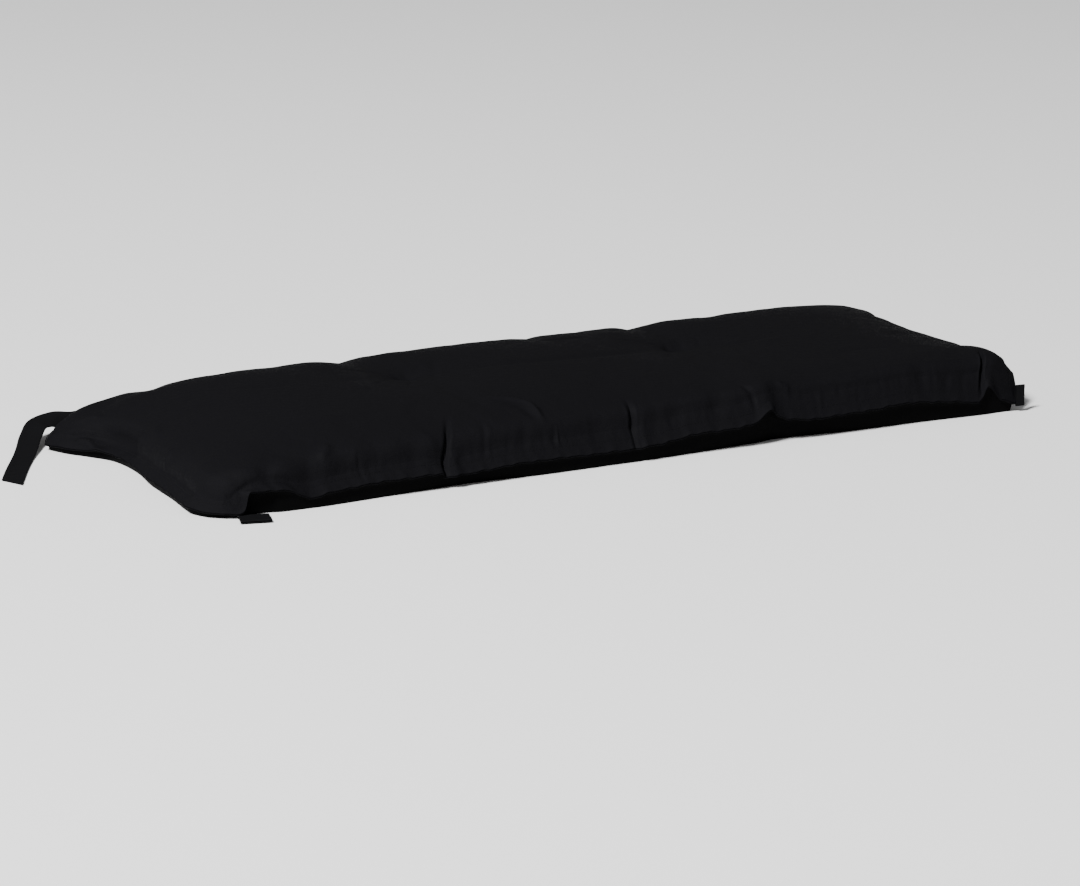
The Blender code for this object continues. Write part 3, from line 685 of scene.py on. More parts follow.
def star_creases(rng):
    """Creases that run out from each tuft, at uneven turns and lengths."""
    rows = []
    for centre_x, centre_y, *_ in TUFTS:
        for k in range(STAR_CREASES):
            turn = 2 * math.pi * (k + rng.uniform(-STAR_TURN, STAR_TURN)) / STAR_CREASES
            start, reach = rng.uniform(*STAR_START), rng.uniform(*STAR_REACH)
            ends = [(centre_x + r * math.cos(turn), centre_y + r * math.sin(turn)) for r in (start, reach)]
            rows.append((rng.uniform(*STAR_DEPTH), rng.uniform(*STAR_HALF), STAR_SHARP, tuple(ends)))
    return rows


rng = np.random.default_rng(FINE_SEED)
small_folds = fine_gathers(rng)
small_creases = star_creases(rng)
folds = [(side, *row) for side, rows in SEAM_FOLDS.items() for row in rows]
print("folds:", len(folds), "creases:", len(CREASES), "fine:", len(small_folds), len(small_creases))

# %% [markdown]
# ## Soft unevenness from a cloth simulation
#
# Real filling pushes against the cloth, and the cloth, a little too long for its seam, buckles. A
# coarse copy of the panel is simulated with pressure and no gravity. Its flange and tufts are held.
# Only what differs from a blurred copy of the result is kept, softened and with a cap, so the pad keeps
# its height and outline and takes the wrinkles alone.
# %% Simulate a coarse copy
SIM_COLUMNS = 230
SIM_ROWS = 92
SIM_FRAMES = 20
SIM_EXCESS = 0.02
SIM_CLOTH = {
    "quality": 6,
    "mass": 0.2,
    "tension_stiffness": 12.0,
    "compression_stiffness": 12.0,
    "shear_stiffness": 4.0,
    "bending_stiffness": 0.08,
    "vertex_group_mass": "held",
    "shrink_min": -SIM_EXCESS,
    "shrink_max": -SIM_EXCESS,
    "use_pressure": True,
    "uniform_pressure_force": 4.0,
}
SIM_CAP = 0.0007
SIM_BLUR = 7
SIM_SOFTENING = 3
HELD_TUFT = 0.012
HELD_EDGE = 0.022


def unit(vectors):
    """The vectors made one long."""
    return vectors / np.maximum(np.linalg.norm(vectors, axis=-1, keepdims=True), TINY)


def surface_normals(grid):
    """Unit normals of a grid of points, pointing up and out."""
    return unit(np.cross(np.gradient(grid, axis=0), np.gradient(grid, axis=1)))


def grid_object(name, grid):
    """A plain mesh object of a grid of points."""
    across = grid.shape[1]
    corners = [(i * across + j, (i + 1) * across + j, (i + 1) * across + j + 1, i * across + j + 1)
               for i in range(grid.shape[0] - 1) for j in range(across - 1)]
    data = bpy.data.meshes.new(name)
    data.from_pydata(grid.reshape(-1, 3).tolist(), [], corners)
    return placed(name, data)


def blurred(values, passes):
    """A map smoothed by repeated averaging with its neighbours."""
    result = values.copy()
    for _ in range(passes * passes):
        padded = np.pad(result, 1, mode="edge")
        result = (padded[:-2, 1:-1] + padded[2:, 1:-1] + padded[1:-1, :-2] + padded[1:-1, 2:]
                  + 4 * padded[1:-1, 1:-1]) / 8
    return result


def settled_points(trial):
    """Points of the trial panel after the cloth simulation has run."""
    cloth = trial.modifiers.new("cloth", "CLOTH")
    for name, value in SIM_CLOTH.items():
        setattr(cloth.settings, name, value)
    cloth.settings.effector_weights.gravity = 0.0
    cloth.collision_settings.use_collision = False
    cloth.point_cache.frame_start = 1
    cloth.point_cache.frame_end = SIM_FRAMES
    for frame_number in range(1, SIM_FRAMES + 1):
        bpy.context.scene.frame_set(frame_number)
    settled = trial.evaluated_get(bpy.context.evaluated_depsgraph_get()).data
    points = np.empty(len(settled.vertices) * 3)
    settled.vertices.foreach_get("co", points)
    bpy.context.scene.frame_set(1)
    return points


def simulated_wrinkles():
    """Wrinkles of the coarse copy as a map of heights above its smooth form, with its shares."""
    coarse_us = evened_shares(2 * HALF_LENGTH, SIM_COLUMNS)
    coarse_vs = evened_shares(2 * HALF_DEPTH, SIM_ROWS)
    start, share, nearest = filled_body(seam_patch(coarse_us, coarse_vs), coarse_us, coarse_vs)
    start[:, :, 2] -= tufted(start[:, :, 0], start[:, :, 1]) * share
    trial = grid_object("trial_panel", start)
    held = nearest < HELD_EDGE
    for centre_x, centre_y, *_ in TUFTS:
        held |= np.hypot(start[:, :, 0] - centre_x, start[:, :, 1] - centre_y) < HELD_TUFT
    group = trial.vertex_groups.new(name="held")
    group.add(np.flatnonzero(held.ravel()).tolist(), 1.0, "REPLACE")
    moved = settled_points(trial).reshape(start.shape) - start
    bpy.data.objects.remove(trial)
    height = (moved * surface_normals(start)).sum(axis=2)
    print("simulated movement in mm:", round(1000 * float(np.abs(height).max()), 1))
    wrinkles = blurred(height, SIM_SOFTENING) - blurred(height, SIM_BLUR)
    return coarse_us, coarse_vs, SIM_CAP * np.tanh(wrinkles / SIM_CAP)


def resampled(values, from_shares, to_shares):
    """Rows of values read at new shares, on smooth curves through the old ones."""
    cell = stretch_of(from_shares, to_shares)
    t = ((to_shares - from_shares[cell]) / (from_shares[cell + 1] - from_shares[cell]))[:, None]
    last = len(from_shares) - 1
    before, start, end, after = (values[np.clip(cell + k, 0, last)] for k in (-1, 0, 1, 2))
    return 0.5 * (2 * start + (end - before) * t + (2 * before - 5 * start + 4 * end - after) * t ** 2
                  + (3 * start - before - 3 * end + after) * t ** 3)


coarse_us, coarse_vs, wrinkles = simulated_wrinkles()
wrinkle_map = resampled(resampled(wrinkles, coarse_us, us).T, coarse_vs, vs).T
print("wrinkles kept in mm:", round(1000 * float(np.abs(wrinkle_map).max()), 2))

# %% [markdown]
# ## The top panel
#
# The tufts come first, and the folds and wrinkles then move the cloth along its normals. The stitching
# draws a groove along the flange, the cloth above it bulges out a little, and the flange itself
# ripples, because the longer top panel was eased onto the bottom one.
# %% Top panel
BULGE = 0.0030
BULGE_MIDDLE = 0.024
BULGE_SPREAD = 0.018
RIPPLE = 0.0012
RIPPLE_PITCH = 0.026
RIPPLE_WAVES = (
    # share, waves per pitch, start
    (0.5, 1.0, 0.0),
    (0.3, 1.73, 1.0),
    (0.2, 0.41, 2.0),
)
STITCHED_INSIDE = 0.0125
GROOVE = 0.0010
GROOVE_HALF = 0.0026
END_GROOVE = 0.2


def wavy(place):
    """An uneven wave along the seam, between -1 and 1."""
    turn = 2 * math.pi * place / RIPPLE_PITCH
    return sum(share * np.sin(turn * waves + start) for share, waves, start in RIPPLE_WAVES)


def top_panel():
    """The crowned panel with all its folds."""
    grid = body.copy()
    x, y = patch[:, :, 0], patch[:, :, 1]
    grid[:, :, 2] -= tufted(x, y) * body_share
    over = distances(grid)
    nearest = nearest_side(over)
    above = nearest - math.hypot(FLANGE, FLANGE_RISE)
    raised = BULGE * np.exp(-((above - BULGE_MIDDLE) / BULGE_SPREAD) ** 2) * body_share + wrinkle_map
    at_ends = np.minimum(over["left"], over["right"]) < np.minimum(over["front"], over["back"])
    depth = GROOVE * np.exp(-((nearest - STITCHED_INSIDE) / GROOVE_HALF) ** 2)
    depth *= np.where(at_ends, END_GROOVE, 1.0)
    for side, *row in folds + small_folds:
        place = x if side in ("front", "back") else y
        depth += seam_fold(over[side] - FLANGE, place, row)
    for row in CREASES + tuple(small_creases):
        depth += crease_depth(x, y, *row)
    grid = grid + surface_normals(grid) * (raised - depth)[:, :, None]
    flange = np.exp(-(nearest / FLANGE) ** 2)
    grid[:, :, 2] += RIPPLE * wavy(x + y) * flange
    return grid


panel = top_panel()
print("top panel from", panel.min(axis=(0, 1)).round(3), "to", panel.max(axis=(0, 1)).round(3))

# %% [markdown]
# ## Underside
#
# Below the seam the bottom panel curves in to the flat face that the cushion rests on. It is built as
# rings that start at the seam's edge and step inwards and down, and the last ring is closed by one
# flat face.
# %% Underside
PLAIN_INSET = 0.55
EDGE_RINGS = (
    # out,   down
    (0.0012, 0.0008),
    (-0.0004, 0.0015),
    (0.0010, 0.0022),
    (0.0000, 0.0030),
)
UNDER_RINGS = (
    # inset, high
    (0.18, 0.97),
    (0.38, 0.93),
    (0.55, 0.88),
    (0.61, 0.74),
    (0.66, 0.52),
    (0.73, 0.30),
    (0.82, 0.13),
    (0.91, 0.03),
    (1.00, 0.00),
)
UNDERSIDE_LINE = (
    # along, inset
    (-0.600, 0.0070),
    (-0.560, 0.0080),
    (-0.535, 0.0140),
    (-0.495, 0.0140),
    (-0.470, 0.0075),
    (-0.400, 0.0065),
    (-0.320, 0.0110),
    (-0.220, 0.0160),
    (-0.100, 0.0090),
    (0.030, 0.0110),
    (0.230, 0.0245),
    (0.330, 0.0170),
    (0.430, 0.0145),
    (0.530, 0.0085),
    (0.600, 0.0080),
)
INSET_SMOOTHING = 60


def seam_loop():
    """Grid places round the seam, anticlockwise seen from above."""
    loop = [(i, 0) for i in range(COLUMNS)]
    loop += [(COLUMNS, j) for j in range(ROWS)]
    loop += [(i, ROWS) for i in range(COLUMNS, 0, -1)]
    loop += [(0, j) for j in range(ROWS, 0, -1)]
    return loop


def inward_directions(points):
    """Level directions from the outline into the pad, smoothed where they would cross at the corners."""
    along = unit(np.roll(points, -1, axis=0) - np.roll(points, 1, axis=0))
    inward = np.stack([-along[:, 1], along[:, 0]], axis=1)
    for _ in range(INSET_SMOOTHING):
        inward = (np.roll(inward, 1, axis=0) + 2 * inward + np.roll(inward, -1, axis=0)) / 4
    return unit(inward)


def under_rings(outline, plain):
    """Rings of points from the seam's edge and its groove down to the flat underside."""
    inward = inward_directions(plain[:, :2])
    step_in = smooth_line(UNDERSIDE_LINE, plain[:, 0])[:, None]
    rings = []
    for out, down in EDGE_RINGS:
        rings.append(np.column_stack([outline[:, :2] - inward * out, outline[:, 2] - down]))
    for inset, high in UNDER_RINGS:
        share = min(inset / PLAIN_INSET, 1.0)
        line = (1 - share) * outline + share * plain
        low = line[:, 2] - EDGE_THICK
        rings.append(np.column_stack([line[:, :2] + inward * step_in * inset, high * low]))
    return rings


# %% Join the panels into one closed body
ABOVE = 0
# Slot for the faces below the seam's edge. Their cloth is painted darker as shade under the seam.
BELOW_PAINTED_SHADE = 1


def add_face(mesh, cloth_map, corners, places, slot=ABOVE):
    """A face through its corners, whose places on the cloth's map are given."""
    face = mesh.faces.new(corners)
    face.material_index = slot
    for loop, place in zip(face.loops, places):
        loop[cloth_map].uv = place
    return face


def add_panel(mesh, cloth_map):
    """The top panel's faces. Returns its vertices as a grid."""
    over = distances(panel)
    grid = [[mesh.verts.new(panel[i, j]) for j in range(ROWS + 1)] for i in range(COLUMNS + 1)]
    middle = over["left"][:, ROWS // 2]
    for i in range(COLUMNS):
        for j in range(ROWS):
            places = ((i, j), (i + 1, j), (i + 1, j + 1), (i, j + 1))
            add_face(mesh, cloth_map, [grid[a][b] for a, b in places],
                     [(middle[a], over["front"][a, b]) for a, b in places])
    return grid


def add_underside(mesh, cloth_map, grid):
    """The faces from the panel's edge down, ring by ring, and the flat face that closes them."""
    loop_places = seam_loop()
    outline = np.array([panel[i, j] for i, j in loop_places])
    plain = np.array([body[i, j] for i, j in loop_places])
    above = [grid[i][j] for i, j in loop_places]
    count = len(loop_places)
    round_seam = np.concatenate([[0.0], np.cumsum(np.linalg.norm(np.diff(outline, axis=0), axis=1))])
    round_seam = np.append(round_seam, round_seam[-1] + np.linalg.norm(outline[0] - outline[-1]))
    down, last_ring = 0.0, outline
    for step, ring in enumerate(under_rings(outline, plain)):
        below = [mesh.verts.new(point) for point in ring]
        further = down + float(np.linalg.norm(ring - last_ring, axis=1).mean())
        # Rings below the edge get the darker black, which is painted shade under the seam.
        slot = BELOW_PAINTED_SHADE if step >= len(EDGE_RINGS) else ABOVE
        for k in range(count):
            after = (k + 1) % count
            start, end = round_seam[k], round_seam[k + 1]
            add_face(mesh, cloth_map, (above[k], below[k], below[after], above[after]),
                     ((start, down), (start, further), (end, further), (end, down)), slot)
        above, down, last_ring = below, further, ring
    corners = above[::-1]
    base = add_face(mesh, cloth_map, corners, [corner.co.xy for corner in corners], BELOW_PAINTED_SHADE)
    bmesh.ops.triangulate(mesh, faces=[base])


def finished_mesh(name, mesh):
    """Mesh data of the faces, all facing outward and shaded smooth."""
    bmesh.ops.recalc_face_normals(mesh, faces=mesh.faces[:])
    data = bpy.data.meshes.new(name)
    mesh.to_mesh(data)
    mesh.free()
    data.shade_smooth()
    return data


def build_pad():
    """The pad as one closed mesh, with a map in metres over the cloth."""
    mesh = bmesh.new()
    cloth_map = mesh.loops.layers.uv.new("cloth")
    grid = add_panel(mesh, cloth_map)
    add_underside(mesh, cloth_map, grid)
    return placed("bench_pad", finished_mesh("bench_pad", mesh))


pad = build_pad()
print("pad faces:", len(pad.data.polygons))

# %% [markdown]
# ## Black cloth
#
# The cover is a fine plain weave in a deep black that is still a little lighter than pure black, with
# hardly any gloss. The bottom panel has the same weave in a much darker black. That darker black is
# painted shade standing for the deep shadow under the seam. The weave is two sets of waves at the
# thread's pitch, read from the map in metres, so that it follows the cloth. Slubs and soft creases
# come from noise on the object's own coordinates.
# %% Cloth materials
CLOTH_COLOUR = (0.0040, 0.0039, 0.0046, 1.0)
CLOTH_LIGHT = (0.0062, 0.0061, 0.0071, 1.0)
# Painted shade: the bottom panel's black is darker than the cover's and stands for the shadow under the
# seam.
UNDER_PAINTED_SHADE_COLOUR = (0.0015, 0.0015, 0.0016, 1.0)
UNDER_PAINTED_SHADE_LIGHT = (0.0024, 0.0024, 0.0026, 1.0)
TAPE_COLOUR = (0.0042, 0.0042, 0.0046, 1.0)
TAPE_LIGHT = (0.0066, 0.0066, 0.0072, 1.0)
CLOTH_ROUGHNESS = 0.62
CLOTH_GLOSS = 0.012
THREAD_PITCH = 0.0006
TAPE_PITCH = 0.0009
SLUB_WAVES = 900.0
SLUB_DETAIL = 2.0
SLUB_TONE = 0.7
SLUB_RELIEF = 0.00010
WEAVE_TONE = 0.15
WEAVE_RELIEF = 0.00006
CREASE_WAVES = 95.0
CREASE_DETAIL = 3.0
CREASE_RELIEF = 0.0012
CLOTH_RELIEF = 0.8


def feed(tree, socket, value):
    """Join another node's output to an input, or set the input to a constant."""
    if isinstance(value, bpy.types.NodeSocket):
        tree.links.new(value, socket)
    else:
        socket.default_value = value


def node(tree, kind, inputs=(), **settings):
    """A new node with its settings and inputs. Returns its outputs."""
    made = tree.nodes.new(kind)
    for name, value in settings.items():
        setattr(made, name, value)
    for name, value in dict(inputs).items():
        feed(tree, made.inputs[name], value)
    return made.outputs


def maths(tree, operation, *values):
    """A maths node on sockets or numbers. Returns its result."""
    return node(tree, "ShaderNodeMath", enumerate(values), operation=operation)[0]


def weave_height(tree, pitch):
    """Height of a plain weave: one set of threads over the other, turn by turn."""
    place = node(tree, "ShaderNodeUVMap", uv_map="cloth")["UV"]
    split = node(tree, "ShaderNodeSeparateXYZ", {"Vector": place})
    waves = [maths(tree, "SINE", maths(tree, "MULTIPLY", split[axis], math.pi / pitch)) for axis in "XY"]
    return maths(tree, "MULTIPLY", *waves)


def cloth_noise(tree, scale, detail):
    """Noise on the object's coordinates, in waves per metre."""
    place = node(tree, "ShaderNodeTexCoord")["Object"]
    return node(tree, "ShaderNodeTexNoise", {"Vector": place, "Scale": scale, "Detail": detail})["Fac"]


def weighted(tree, *pairs):
    """The sum of sockets, each times its weight."""
    total = maths(tree, "MULTIPLY", *pairs[0])
    for pair in pairs[1:]:
        total = maths(tree, "ADD", total, maths(tree, "MULTIPLY", *pair))
    return total


def add_colour(tree, shader, share, dark, light):
    """Colour between a dark and a light one."""
    mix = node(tree, "ShaderNodeMix", {"Factor": share, "A": dark, "B": light}, data_type="RGBA")
    tree.links.new(mix["Result"], shader.inputs["Base Color"])


def add_relief(tree, shader, height, strength):
    """Fine relief from a height in metres."""
    bump = node(tree, "ShaderNodeBump", {"Strength": strength, "Distance": 1.0, "Height": height})
    tree.links.new(bump["Normal"], shader.inputs["Normal"])


def cloth_material(name, dark, light, pitch):
    """A woven cloth: colour varied by slubs, relief from weave, slubs and soft creases."""
    material, tree, shader = dull_material(name, CLOTH_ROUGHNESS, CLOTH_GLOSS)
    weave = weave_height(tree, pitch)
    slub = cloth_noise(tree, SLUB_WAVES, SLUB_DETAIL)
    crease = cloth_noise(tree, CREASE_WAVES, CREASE_DETAIL)
    add_colour(tree, shader, weighted(tree, (slub, SLUB_TONE), (weave, WEAVE_TONE)), dark, light)
    height = weighted(tree, (weave, WEAVE_RELIEF), (slub, SLUB_RELIEF), (crease, CREASE_RELIEF))
    add_relief(tree, shader, height, CLOTH_RELIEF)
    return material


black_cloth = cloth_material("black_cloth", CLOTH_COLOUR, CLOTH_LIGHT, THREAD_PITCH)
# The bottom panel's material, its colour darkened as painted shade.
black_underside_painted_shade = cloth_material("black_underside_painted_shade", UNDER_PAINTED_SHADE_COLOUR, UNDER_PAINTED_SHADE_LIGHT, THREAD_PITCH)
black_tape = cloth_material("black_tape", TAPE_COLOUR, TAPE_LIGHT, TAPE_PITCH)
pad.data.materials.append(black_cloth)
pad.data.materials.append(black_underside_painted_shade)

# %% Hand the pad over
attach(pad, "root")
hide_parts("cushion")

# %% [markdown]
# ## Tapes
#
# Each tie end and tab is the same tape: cloth folded over at both edges and stitched. Its middle line
# is a short table of places, how high its lowest edge lies, and how far it leans from lying flat. The
# section is a flat oval with slightly thicker edges where the cloth is folded over.
# %% Tape routes
TAPE_WIDTH = 0.028
TAPE_THICK = 0.0016
TIES = {
    "tie_back_left_long": (
        # x,      y,      lift,   lean
        (-0.5442, 0.2322, 0.0040, 90),
        (-0.5700, 0.2335, 0.0040, 108),
        (-0.5980, 0.2350, 0.0160, 150),
        (-0.6180, 0.2290, 0.0180, 164),
        (-0.6360, 0.2080, 0.0110, 172),
        (-0.6530, 0.1770, 0.0040, 178),
        (-0.6730, 0.1400, 0.0004, 180),
        (-0.6940, 0.0980, 0.0004, 180),
        (-0.7159, 0.0509, 0.0004, 180),
    ),
    "tie_back_left_short": (
        (-0.5438, 0.2322, 0.0040, 90),
        (-0.5100, 0.2340, 0.0020, 90),
        (-0.4800, 0.2420, 0.0004, 80),
        (-0.4500, 0.2590, 0.0004, 50),
        (-0.4200, 0.2820, 0.0004, 15),
        (-0.3900, 0.3060, 0.0004, 0),
        (-0.3600, 0.3260, 0.0004, 0),
    ),
    "tie_back_right_long": (
        (0.5450, 0.2329, 0.0040, 90),
        (0.5150, 0.2350, 0.0020, 90),
        (0.4850, 0.2430, 0.0004, 80),
        (0.4550, 0.2580, 0.0004, 50),
        (0.4250, 0.2720, 0.0004, 15),
        (0.3700, 0.2870, 0.0004, 0),
        (0.3100, 0.2900, 0.0004, 0),
        (0.2500, 0.2850, 0.0004, 0),
    ),
    "tie_back_right_short": (
        (0.5450, 0.2350, 0.0040, 90),
        (0.5250, 0.2390, 0.0030, 90),
        (0.5030, 0.2530, 0.0004, 80),
        (0.4900, 0.2760, 0.0004, 50),
        (0.4840, 0.3020, 0.0004, 15),
        (0.4780, 0.3300, 0.0004, 0),
        (0.4700, 0.3600, 0.0004, 0),
    ),
}
TABS = {
    # root x, root y, fold x, fold y, lift, lean
    "tab_front_left": (-0.5335, -0.2365, -0.4980, -0.2460, 0.0004, 0),
    "tab_front_right": (0.5594, -0.2272, 0.5712, -0.2282, 0.0080, 90),
}
TAB_GAP = 0.0006

# %% Tape sections
HEM = 0.006
HEM_EXTRA = 0.0003
EDGE_ROUNDING = 0.0008
EDGE_THINNEST = 0.3
SECTION_SHARES = (-1.0, -0.97, -0.86, -0.70, -0.52, -0.2, 0.2, 0.52, 0.70, 0.86, 0.97, 1.0)


def tape_section(middle, across, out):
    """Points round a tape: over its upper face and back under its lower face."""
    half = TAPE_WIDTH / 2
    upper, lower = [], []
    for share in SECTION_SHARES:
        from_edge = half * (1 - abs(share))
        thick = TAPE_THICK / 2 - HEM_EXTRA * min(from_edge / HEM, 1.0) ** 2
        thick *= math.sqrt(min(from_edge / EDGE_ROUNDING, 1.0)) * (1 - EDGE_THINNEST) + EDGE_THINNEST
        upper.append(middle + across * half * share + out * thick)
        lower.append(middle + across * half * share - out * thick)
    return upper + lower[::-1]


def tape_frame(along, lean):
    """Directions across a tape and out of its face, for its direction and its lean in degrees."""
    level = np.array([-along[1], along[0], 0.0])
    level /= np.linalg.norm(level)
    upward = np.cross(along, level)
    angle = math.radians(lean)
    across = math.cos(angle) * level + math.sin(angle) * upward
    return across, np.cross(along, across)


def resting_height(lift, lean):
    """Height of a tape's middle line when its lowest edge is at the given lift."""
    angle = math.radians(lean)
    return lift + TAPE_WIDTH / 2 * math.sin(angle) + TAPE_THICK / 2 * abs(math.cos(angle))


# %% Tie ends and tabs as runs of sections
TIE_SECTIONS = 90
CUT_SLANT = {"tie_back_left_long": 0.8}
CUT_SECTIONS = 14
TAB_STEPS = 10
SHARP_EDGE = math.radians(50)


def tie_run(rows, slant):
    """Middle points and directions of a tie end, whose last sections turn step by step to its cut."""
    path = smooth_through(rows, np.linspace(0, 1, TIE_SECTIONS + 1))
    middles = [np.array([x, y, resting_height(lift, lean)]) for x, y, lift, lean in path]
    run = []
    for k, middle in enumerate(middles):
        along = middles[min(k + 1, TIE_SECTIONS)] - middles[max(k - 1, 0)]
        along[2] = 0.0
        along /= np.linalg.norm(along)
        across, out = tape_frame(along, path[k][3])
        turned = slant * max(k - TIE_SECTIONS + CUT_SECTIONS, 0) / CUT_SECTIONS
        run.append((middle, across - along * turned, out))
    return run


def tab_run(row):
    """Middle points and directions of a tape folded double: out, round the fold, and back."""
    root_x, root_y, fold_x, fold_y, lift, lean = row
    apart = (TAPE_THICK + TAB_GAP) / 2
    along = np.array([fold_x - root_x, fold_y - root_y, 0.0])
    length = np.linalg.norm(along) - apart
    along /= np.linalg.norm(along)
    across, out = tape_frame(along, lean)
    root = np.array([root_x, root_y, resting_height(lift, lean) + apart * abs(out[2])])
    steps = np.linspace(0.0, length, TAB_STEPS)
    stations = [(step, -apart, 0.0) for step in steps]
    stations += [(length + apart * math.sin(turn), -apart * math.cos(turn), turn)
                 for turn in np.linspace(0, math.pi, TAB_STEPS)[1:-1]]
    stations += [(step, apart, math.pi) for step in reversed(steps)]
    return [(root + along * ahead + out * aside, across, out * math.cos(turn) - along * math.sin(turn))
            for ahead, aside, turn in stations]


def build_tape(name, run):
    """A closed tape through the run's sections, with a map in metres."""
    mesh = bmesh.new()
    cloth_map = mesh.loops.layers.uv.new("cloth")
    rings = [[mesh.verts.new(point) for point in tape_section(*station)] for station in run]
    count = len(rings[0])
    half_count = count // 2
    steps = [np.linalg.norm(after[0] - before[0]) for before, after in zip(run, run[1:])]
    walked = np.concatenate([[0.0], np.cumsum(steps)])
    wide = [share * TAPE_WIDTH / 2 for share in SECTION_SHARES]
    wide += wide[::-1]
    for s in range(len(rings) - 1):
        for k in range(count):
            after = (k + 1) % count
            corners = ((s, k), (s, after), (s + 1, after), (s + 1, k))
            add_face(mesh, cloth_map, [rings[a][b] for a, b in corners],
                     [(walked[a], wide[b]) for a, b in corners])
    for ring in (rings[0], rings[-1]):
        for k in range(half_count - 1):
            mesh.faces.new((ring[k], ring[k + 1], ring[count - 2 - k], ring[count - 1 - k]))
    data = finished_mesh(name, mesh)
    data.set_sharp_from_angle(angle=SHARP_EDGE)
    data.materials.append(black_tape)
    return placed(name, data), float(walked[-1])


# %% Make every tape
tape_runs = {name: tie_run(rows, CUT_SLANT.get(name, 0.0)) for name, rows in TIES.items()}
tape_runs.update({name: tab_run(row) for name, row in TABS.items()})
for node_name, run in tape_runs.items():
    tape, length = build_tape(node_name + "_tape", run)
    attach(tape, "root")
    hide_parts(node_name)
    print(node_name, "flat length in mm:", round(1000 * length))

# %% [markdown]
# ## Stitches
#
# One row of stitches runs round the flange, each tape has a row beside both hems, and a tight bar of
# thread holds each tuft. A stitch repeats thousands of times along a path, which is work for Geometry
# Nodes: the path is resampled at the stitch's pitch, a small rounded thread is put on each point, and
# the instances are made real. Every path carries the direction out of the cloth as an attribute, so
# each stitch lies flat on it.
# %% The tree that sews along a path
THREAD_SIDES = 6
THREAD_RINGS = 4
THREAD_RADIUS = 0.5
UNEVEN = (0.88, 1.10)
INPUTS = {"Pitch": "Float", "Length": "Float", "Width": "Float", "Height": "Float", "Turn": "Float",
          "Seed": "Int", "Thread": "Material"}


def stitch_tree():
    """Geometry Nodes that lay one thread at each step along the edges of a path."""
    tree = bpy.data.node_groups.new("sewn_row", "GeometryNodeTree")
    tree.interface.new_socket("Path", in_out="INPUT", socket_type="NodeSocketGeometry")
    for name, kind in INPUTS.items():
        tree.interface.new_socket(name, in_out="INPUT", socket_type="NodeSocket" + kind)
    tree.interface.new_socket("Stitches", in_out="OUTPUT", socket_type="NodeSocketGeometry")
    given = node(tree, "NodeGroupInput")
    curve = node(tree, "GeometryNodeMeshToCurve", {"Mesh": given["Path"]})
    steps = node(tree, "GeometryNodeResampleCurve", {"Curve": curve["Curve"], "Length": given["Pitch"]},
                 mode="LENGTH")
    facing = node(tree, "GeometryNodeInputNamedAttribute", {"Name": "facing"}, data_type="FLOAT_VECTOR")
    tangent = node(tree, "GeometryNodeInputTangent")["Tangent"]
    ahead = node(tree, "FunctionNodeAlignRotationToVector", {"Vector": tangent}, axis="X")
    upright = node(tree, "FunctionNodeAlignRotationToVector",
                   {"Rotation": ahead["Rotation"], "Vector": facing["Attribute"]}, axis="Z", pivot_axis="X")
    turn = node(tree, "ShaderNodeCombineXYZ", {"Z": given["Turn"]})
    turned = node(tree, "FunctionNodeRotateRotation",
                  {"Rotation": upright["Rotation"], "Rotate By": turn["Vector"]}, rotation_space="LOCAL")
    size = node(tree, "ShaderNodeCombineXYZ",
                {"X": given["Length"], "Y": given["Width"], "Z": given["Height"]})
    uneven = node(tree, "FunctionNodeRandomValue",
                  {"Min": UNEVEN[0], "Max": UNEVEN[1], "Seed": given["Seed"]}, data_type="FLOAT")
    scale = node(tree, "ShaderNodeVectorMath",
                 {"Vector": size["Vector"], "Scale": uneven["Value"]}, operation="SCALE")
    thread = node(tree, "GeometryNodeMeshUVSphere",
                  {"Segments": THREAD_SIDES, "Rings": THREAD_RINGS, "Radius": THREAD_RADIUS})
    sewn = node(tree, "GeometryNodeInstanceOnPoints",
                {"Points": steps["Curve"], "Instance": thread["Mesh"], "Rotation": turned["Rotation"],
                 "Scale": scale["Vector"]})
    real = node(tree, "GeometryNodeRealizeInstances", {"Geometry": sewn["Instances"]})
    smooth = node(tree, "GeometryNodeSetShadeSmooth", {"Geometry": real["Geometry"]})
    finish = node(tree, "GeometryNodeSetMaterial",
                  {"Geometry": smooth["Geometry"], "Material": given["Thread"]})
    node(tree, "NodeGroupOutput", {"Stitches": finish["Geometry"]})
    return tree


sewn_row = stitch_tree()
print("nodes in the stitch tree:", len(sewn_row.nodes))

# %% Thread, and a function that sews a piece
THREAD_COLOUR = (0.0042, 0.0042, 0.0047, 1.0)
THREAD_LIGHT = (0.0074, 0.0074, 0.0082, 1.0)
THREAD_ROUGHNESS = 0.45
THREAD_GLOSS = 0.03
TWIST_WAVES = 2500.0
TWIST_DETAIL = 1.0
TWIST_RELIEF = 0.0001
THREAD_RELIEF = 0.5


def thread_material():
    """A twisted black thread, a little shinier than the cloth."""
    material, tree, shader = dull_material("black_thread", THREAD_ROUGHNESS, THREAD_GLOSS)
    twist = cloth_noise(tree, TWIST_WAVES, TWIST_DETAIL)
    add_colour(tree, shader, twist, THREAD_COLOUR, THREAD_LIGHT)
    add_relief(tree, shader, weighted(tree, (twist, TWIST_RELIEF)), THREAD_RELIEF)
    return material


black_thread = thread_material()


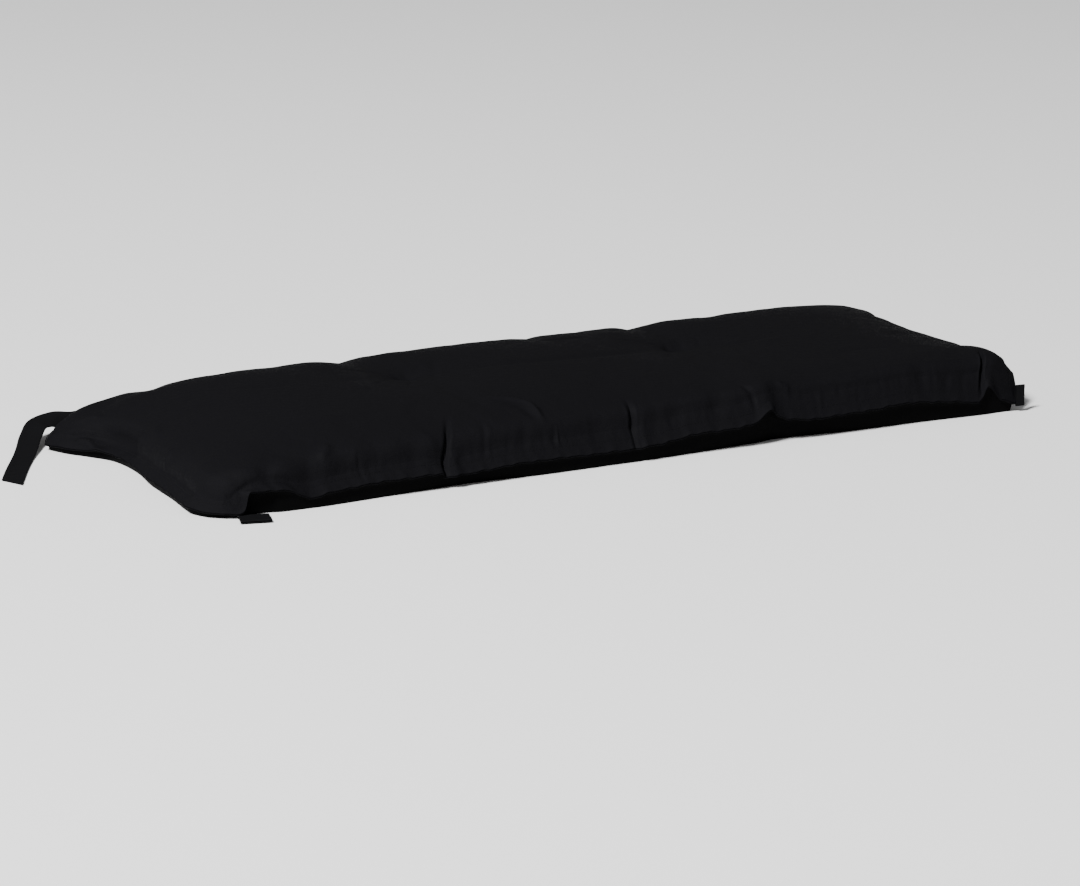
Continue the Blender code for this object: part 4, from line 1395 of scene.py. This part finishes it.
def sew(name, paths, sizes):
    """One mesh of stitches. A path is points, directions out of the cloth, and whether it closes."""
    points, facings, edges = [], [], []
    for path_points, path_facings, closed in paths:
        first, count = len(points), len(path_points)
        points += [tuple(point) for point in path_points]
        facings += [value for facing in path_facings for value in facing]
        edges += [(first + k, first + k + 1) for k in range(count - 1)]
        if closed:
            edges.append((first + count - 1, first))
    data = bpy.data.meshes.new(name + "_path")
    data.from_pydata(points, edges, [])
    data.attributes.new("facing", "FLOAT_VECTOR", "POINT").data.foreach_set("vector", facings)
    path = placed(name + "_path", data)
    sewing = path.modifiers.new("sewing", "NODES")
    sewing.node_group = sewn_row
    values = dict(sizes, Thread=black_thread)
    for socket in sewn_row.interface.items_tree:
        if socket.in_out == "INPUT" and socket.name in values:
            sewing[socket.identifier] = values[socket.name]
    sewn = bpy.data.meshes.new_from_object(path.evaluated_get(bpy.context.evaluated_depsgraph_get()))
    bpy.data.objects.remove(path)
    sewn.name = name
    stitches = placed(name, sewn)
    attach(stitches, "root")
    print(name, "faces:", len(sewn.polygons))


# %% Sew the flange
SEAM_STITCH = {"Pitch": 0.0046, "Length": 0.0036, "Width": 0.00065, "Height": 0.00060, "Turn": 0.0,
               "Seed": 3}
STITCH_LIFT = 0.0001


def row_inside(inside):
    """A closed path on the panel at a distance inside the seam, with directions out of the cloth."""
    over = distances(panel)
    normals = surface_normals(panel)
    lines = [("front", (i, slice(None)), ("left", "right")) for i in range(COLUMNS + 1)]
    lines += [("right", (slice(None), j), ("front", "back")) for j in range(ROWS + 1)]
    lines += [("back", (i, slice(None)), ("left", "right")) for i in range(COLUMNS, -1, -1)]
    lines += [("left", (slice(None), j), ("front", "back")) for j in range(ROWS, -1, -1)]
    points, facings = [], []
    for side, line, ends in lines:
        order = slice(None) if side in ("front", "left") else slice(None, None, -1)
        away = over[side][line][order]
        if any(np.interp(inside, away, over[end][line][order]) < inside for end in ends):
            continue
        point, facing = [[np.interp(inside, away, grid[line][order][:, axis]) for axis in range(3)]
                         for grid in (panel, normals)]
        points.append(np.array(point) + np.array(facing) * STITCH_LIFT)
        facings.append(facing)
    return points, facings, True


sew("seam_stitches", [row_inside(STITCHED_INSIDE)], SEAM_STITCH)

# %% Sew the tufts
TUFT_STITCH = {"Pitch": 0.00055, "Length": 0.0095, "Width": 0.0007, "Height": 0.0008, "Turn": math.pi / 2,
               "Seed": 5}
TUFT_BAR = 0.0028
TUFT_LIFT = 0.0004


def tuft_path(centre_x, centre_y):
    """A short path over the bottom of a tuft's pit."""
    away = np.hypot(panel[:, :, 0] - centre_x, panel[:, :, 1] - centre_y)
    i, j = np.unravel_index(np.argmin(away), away.shape)
    facing = surface_normals(panel)[i, j]
    middle = panel[i, j] + facing * TUFT_LIFT
    return [middle - (TUFT_BAR / 2, 0, 0), middle + (TUFT_BAR / 2, 0, 0)], [facing, facing], False


sew("tuft_stitches", [tuft_path(x, y) for x, y, *_ in TUFTS], TUFT_STITCH)

# %% Sew the tapes
TAPE_STITCH = {"Pitch": 0.0036, "Length": 0.0028, "Width": 0.00055, "Height": 0.00040, "Turn": 0.0,
               "Seed": 7}
TAPE_ROW = 0.0048
TAPE_ROW_HEIGHT = 0.00062


def tape_paths(name, run):
    """Rows beside both hems of a tape: on both faces, or on the outer one where it is folded double."""
    paths = []
    for side in (-1, 1):
        for face in ((-1,) if name in TABS else (-1, 1)):
            points = [middle + across * side * (TAPE_WIDTH / 2 - TAPE_ROW) + out * face * TAPE_ROW_HEIGHT
                      for middle, across, out in run]
            paths.append((points, [out * face for _, _, out in run], False))
    return paths


sew("tape_stitches", [path for name, run in tape_runs.items() for path in tape_paths(name, run)],
    TAPE_STITCH)
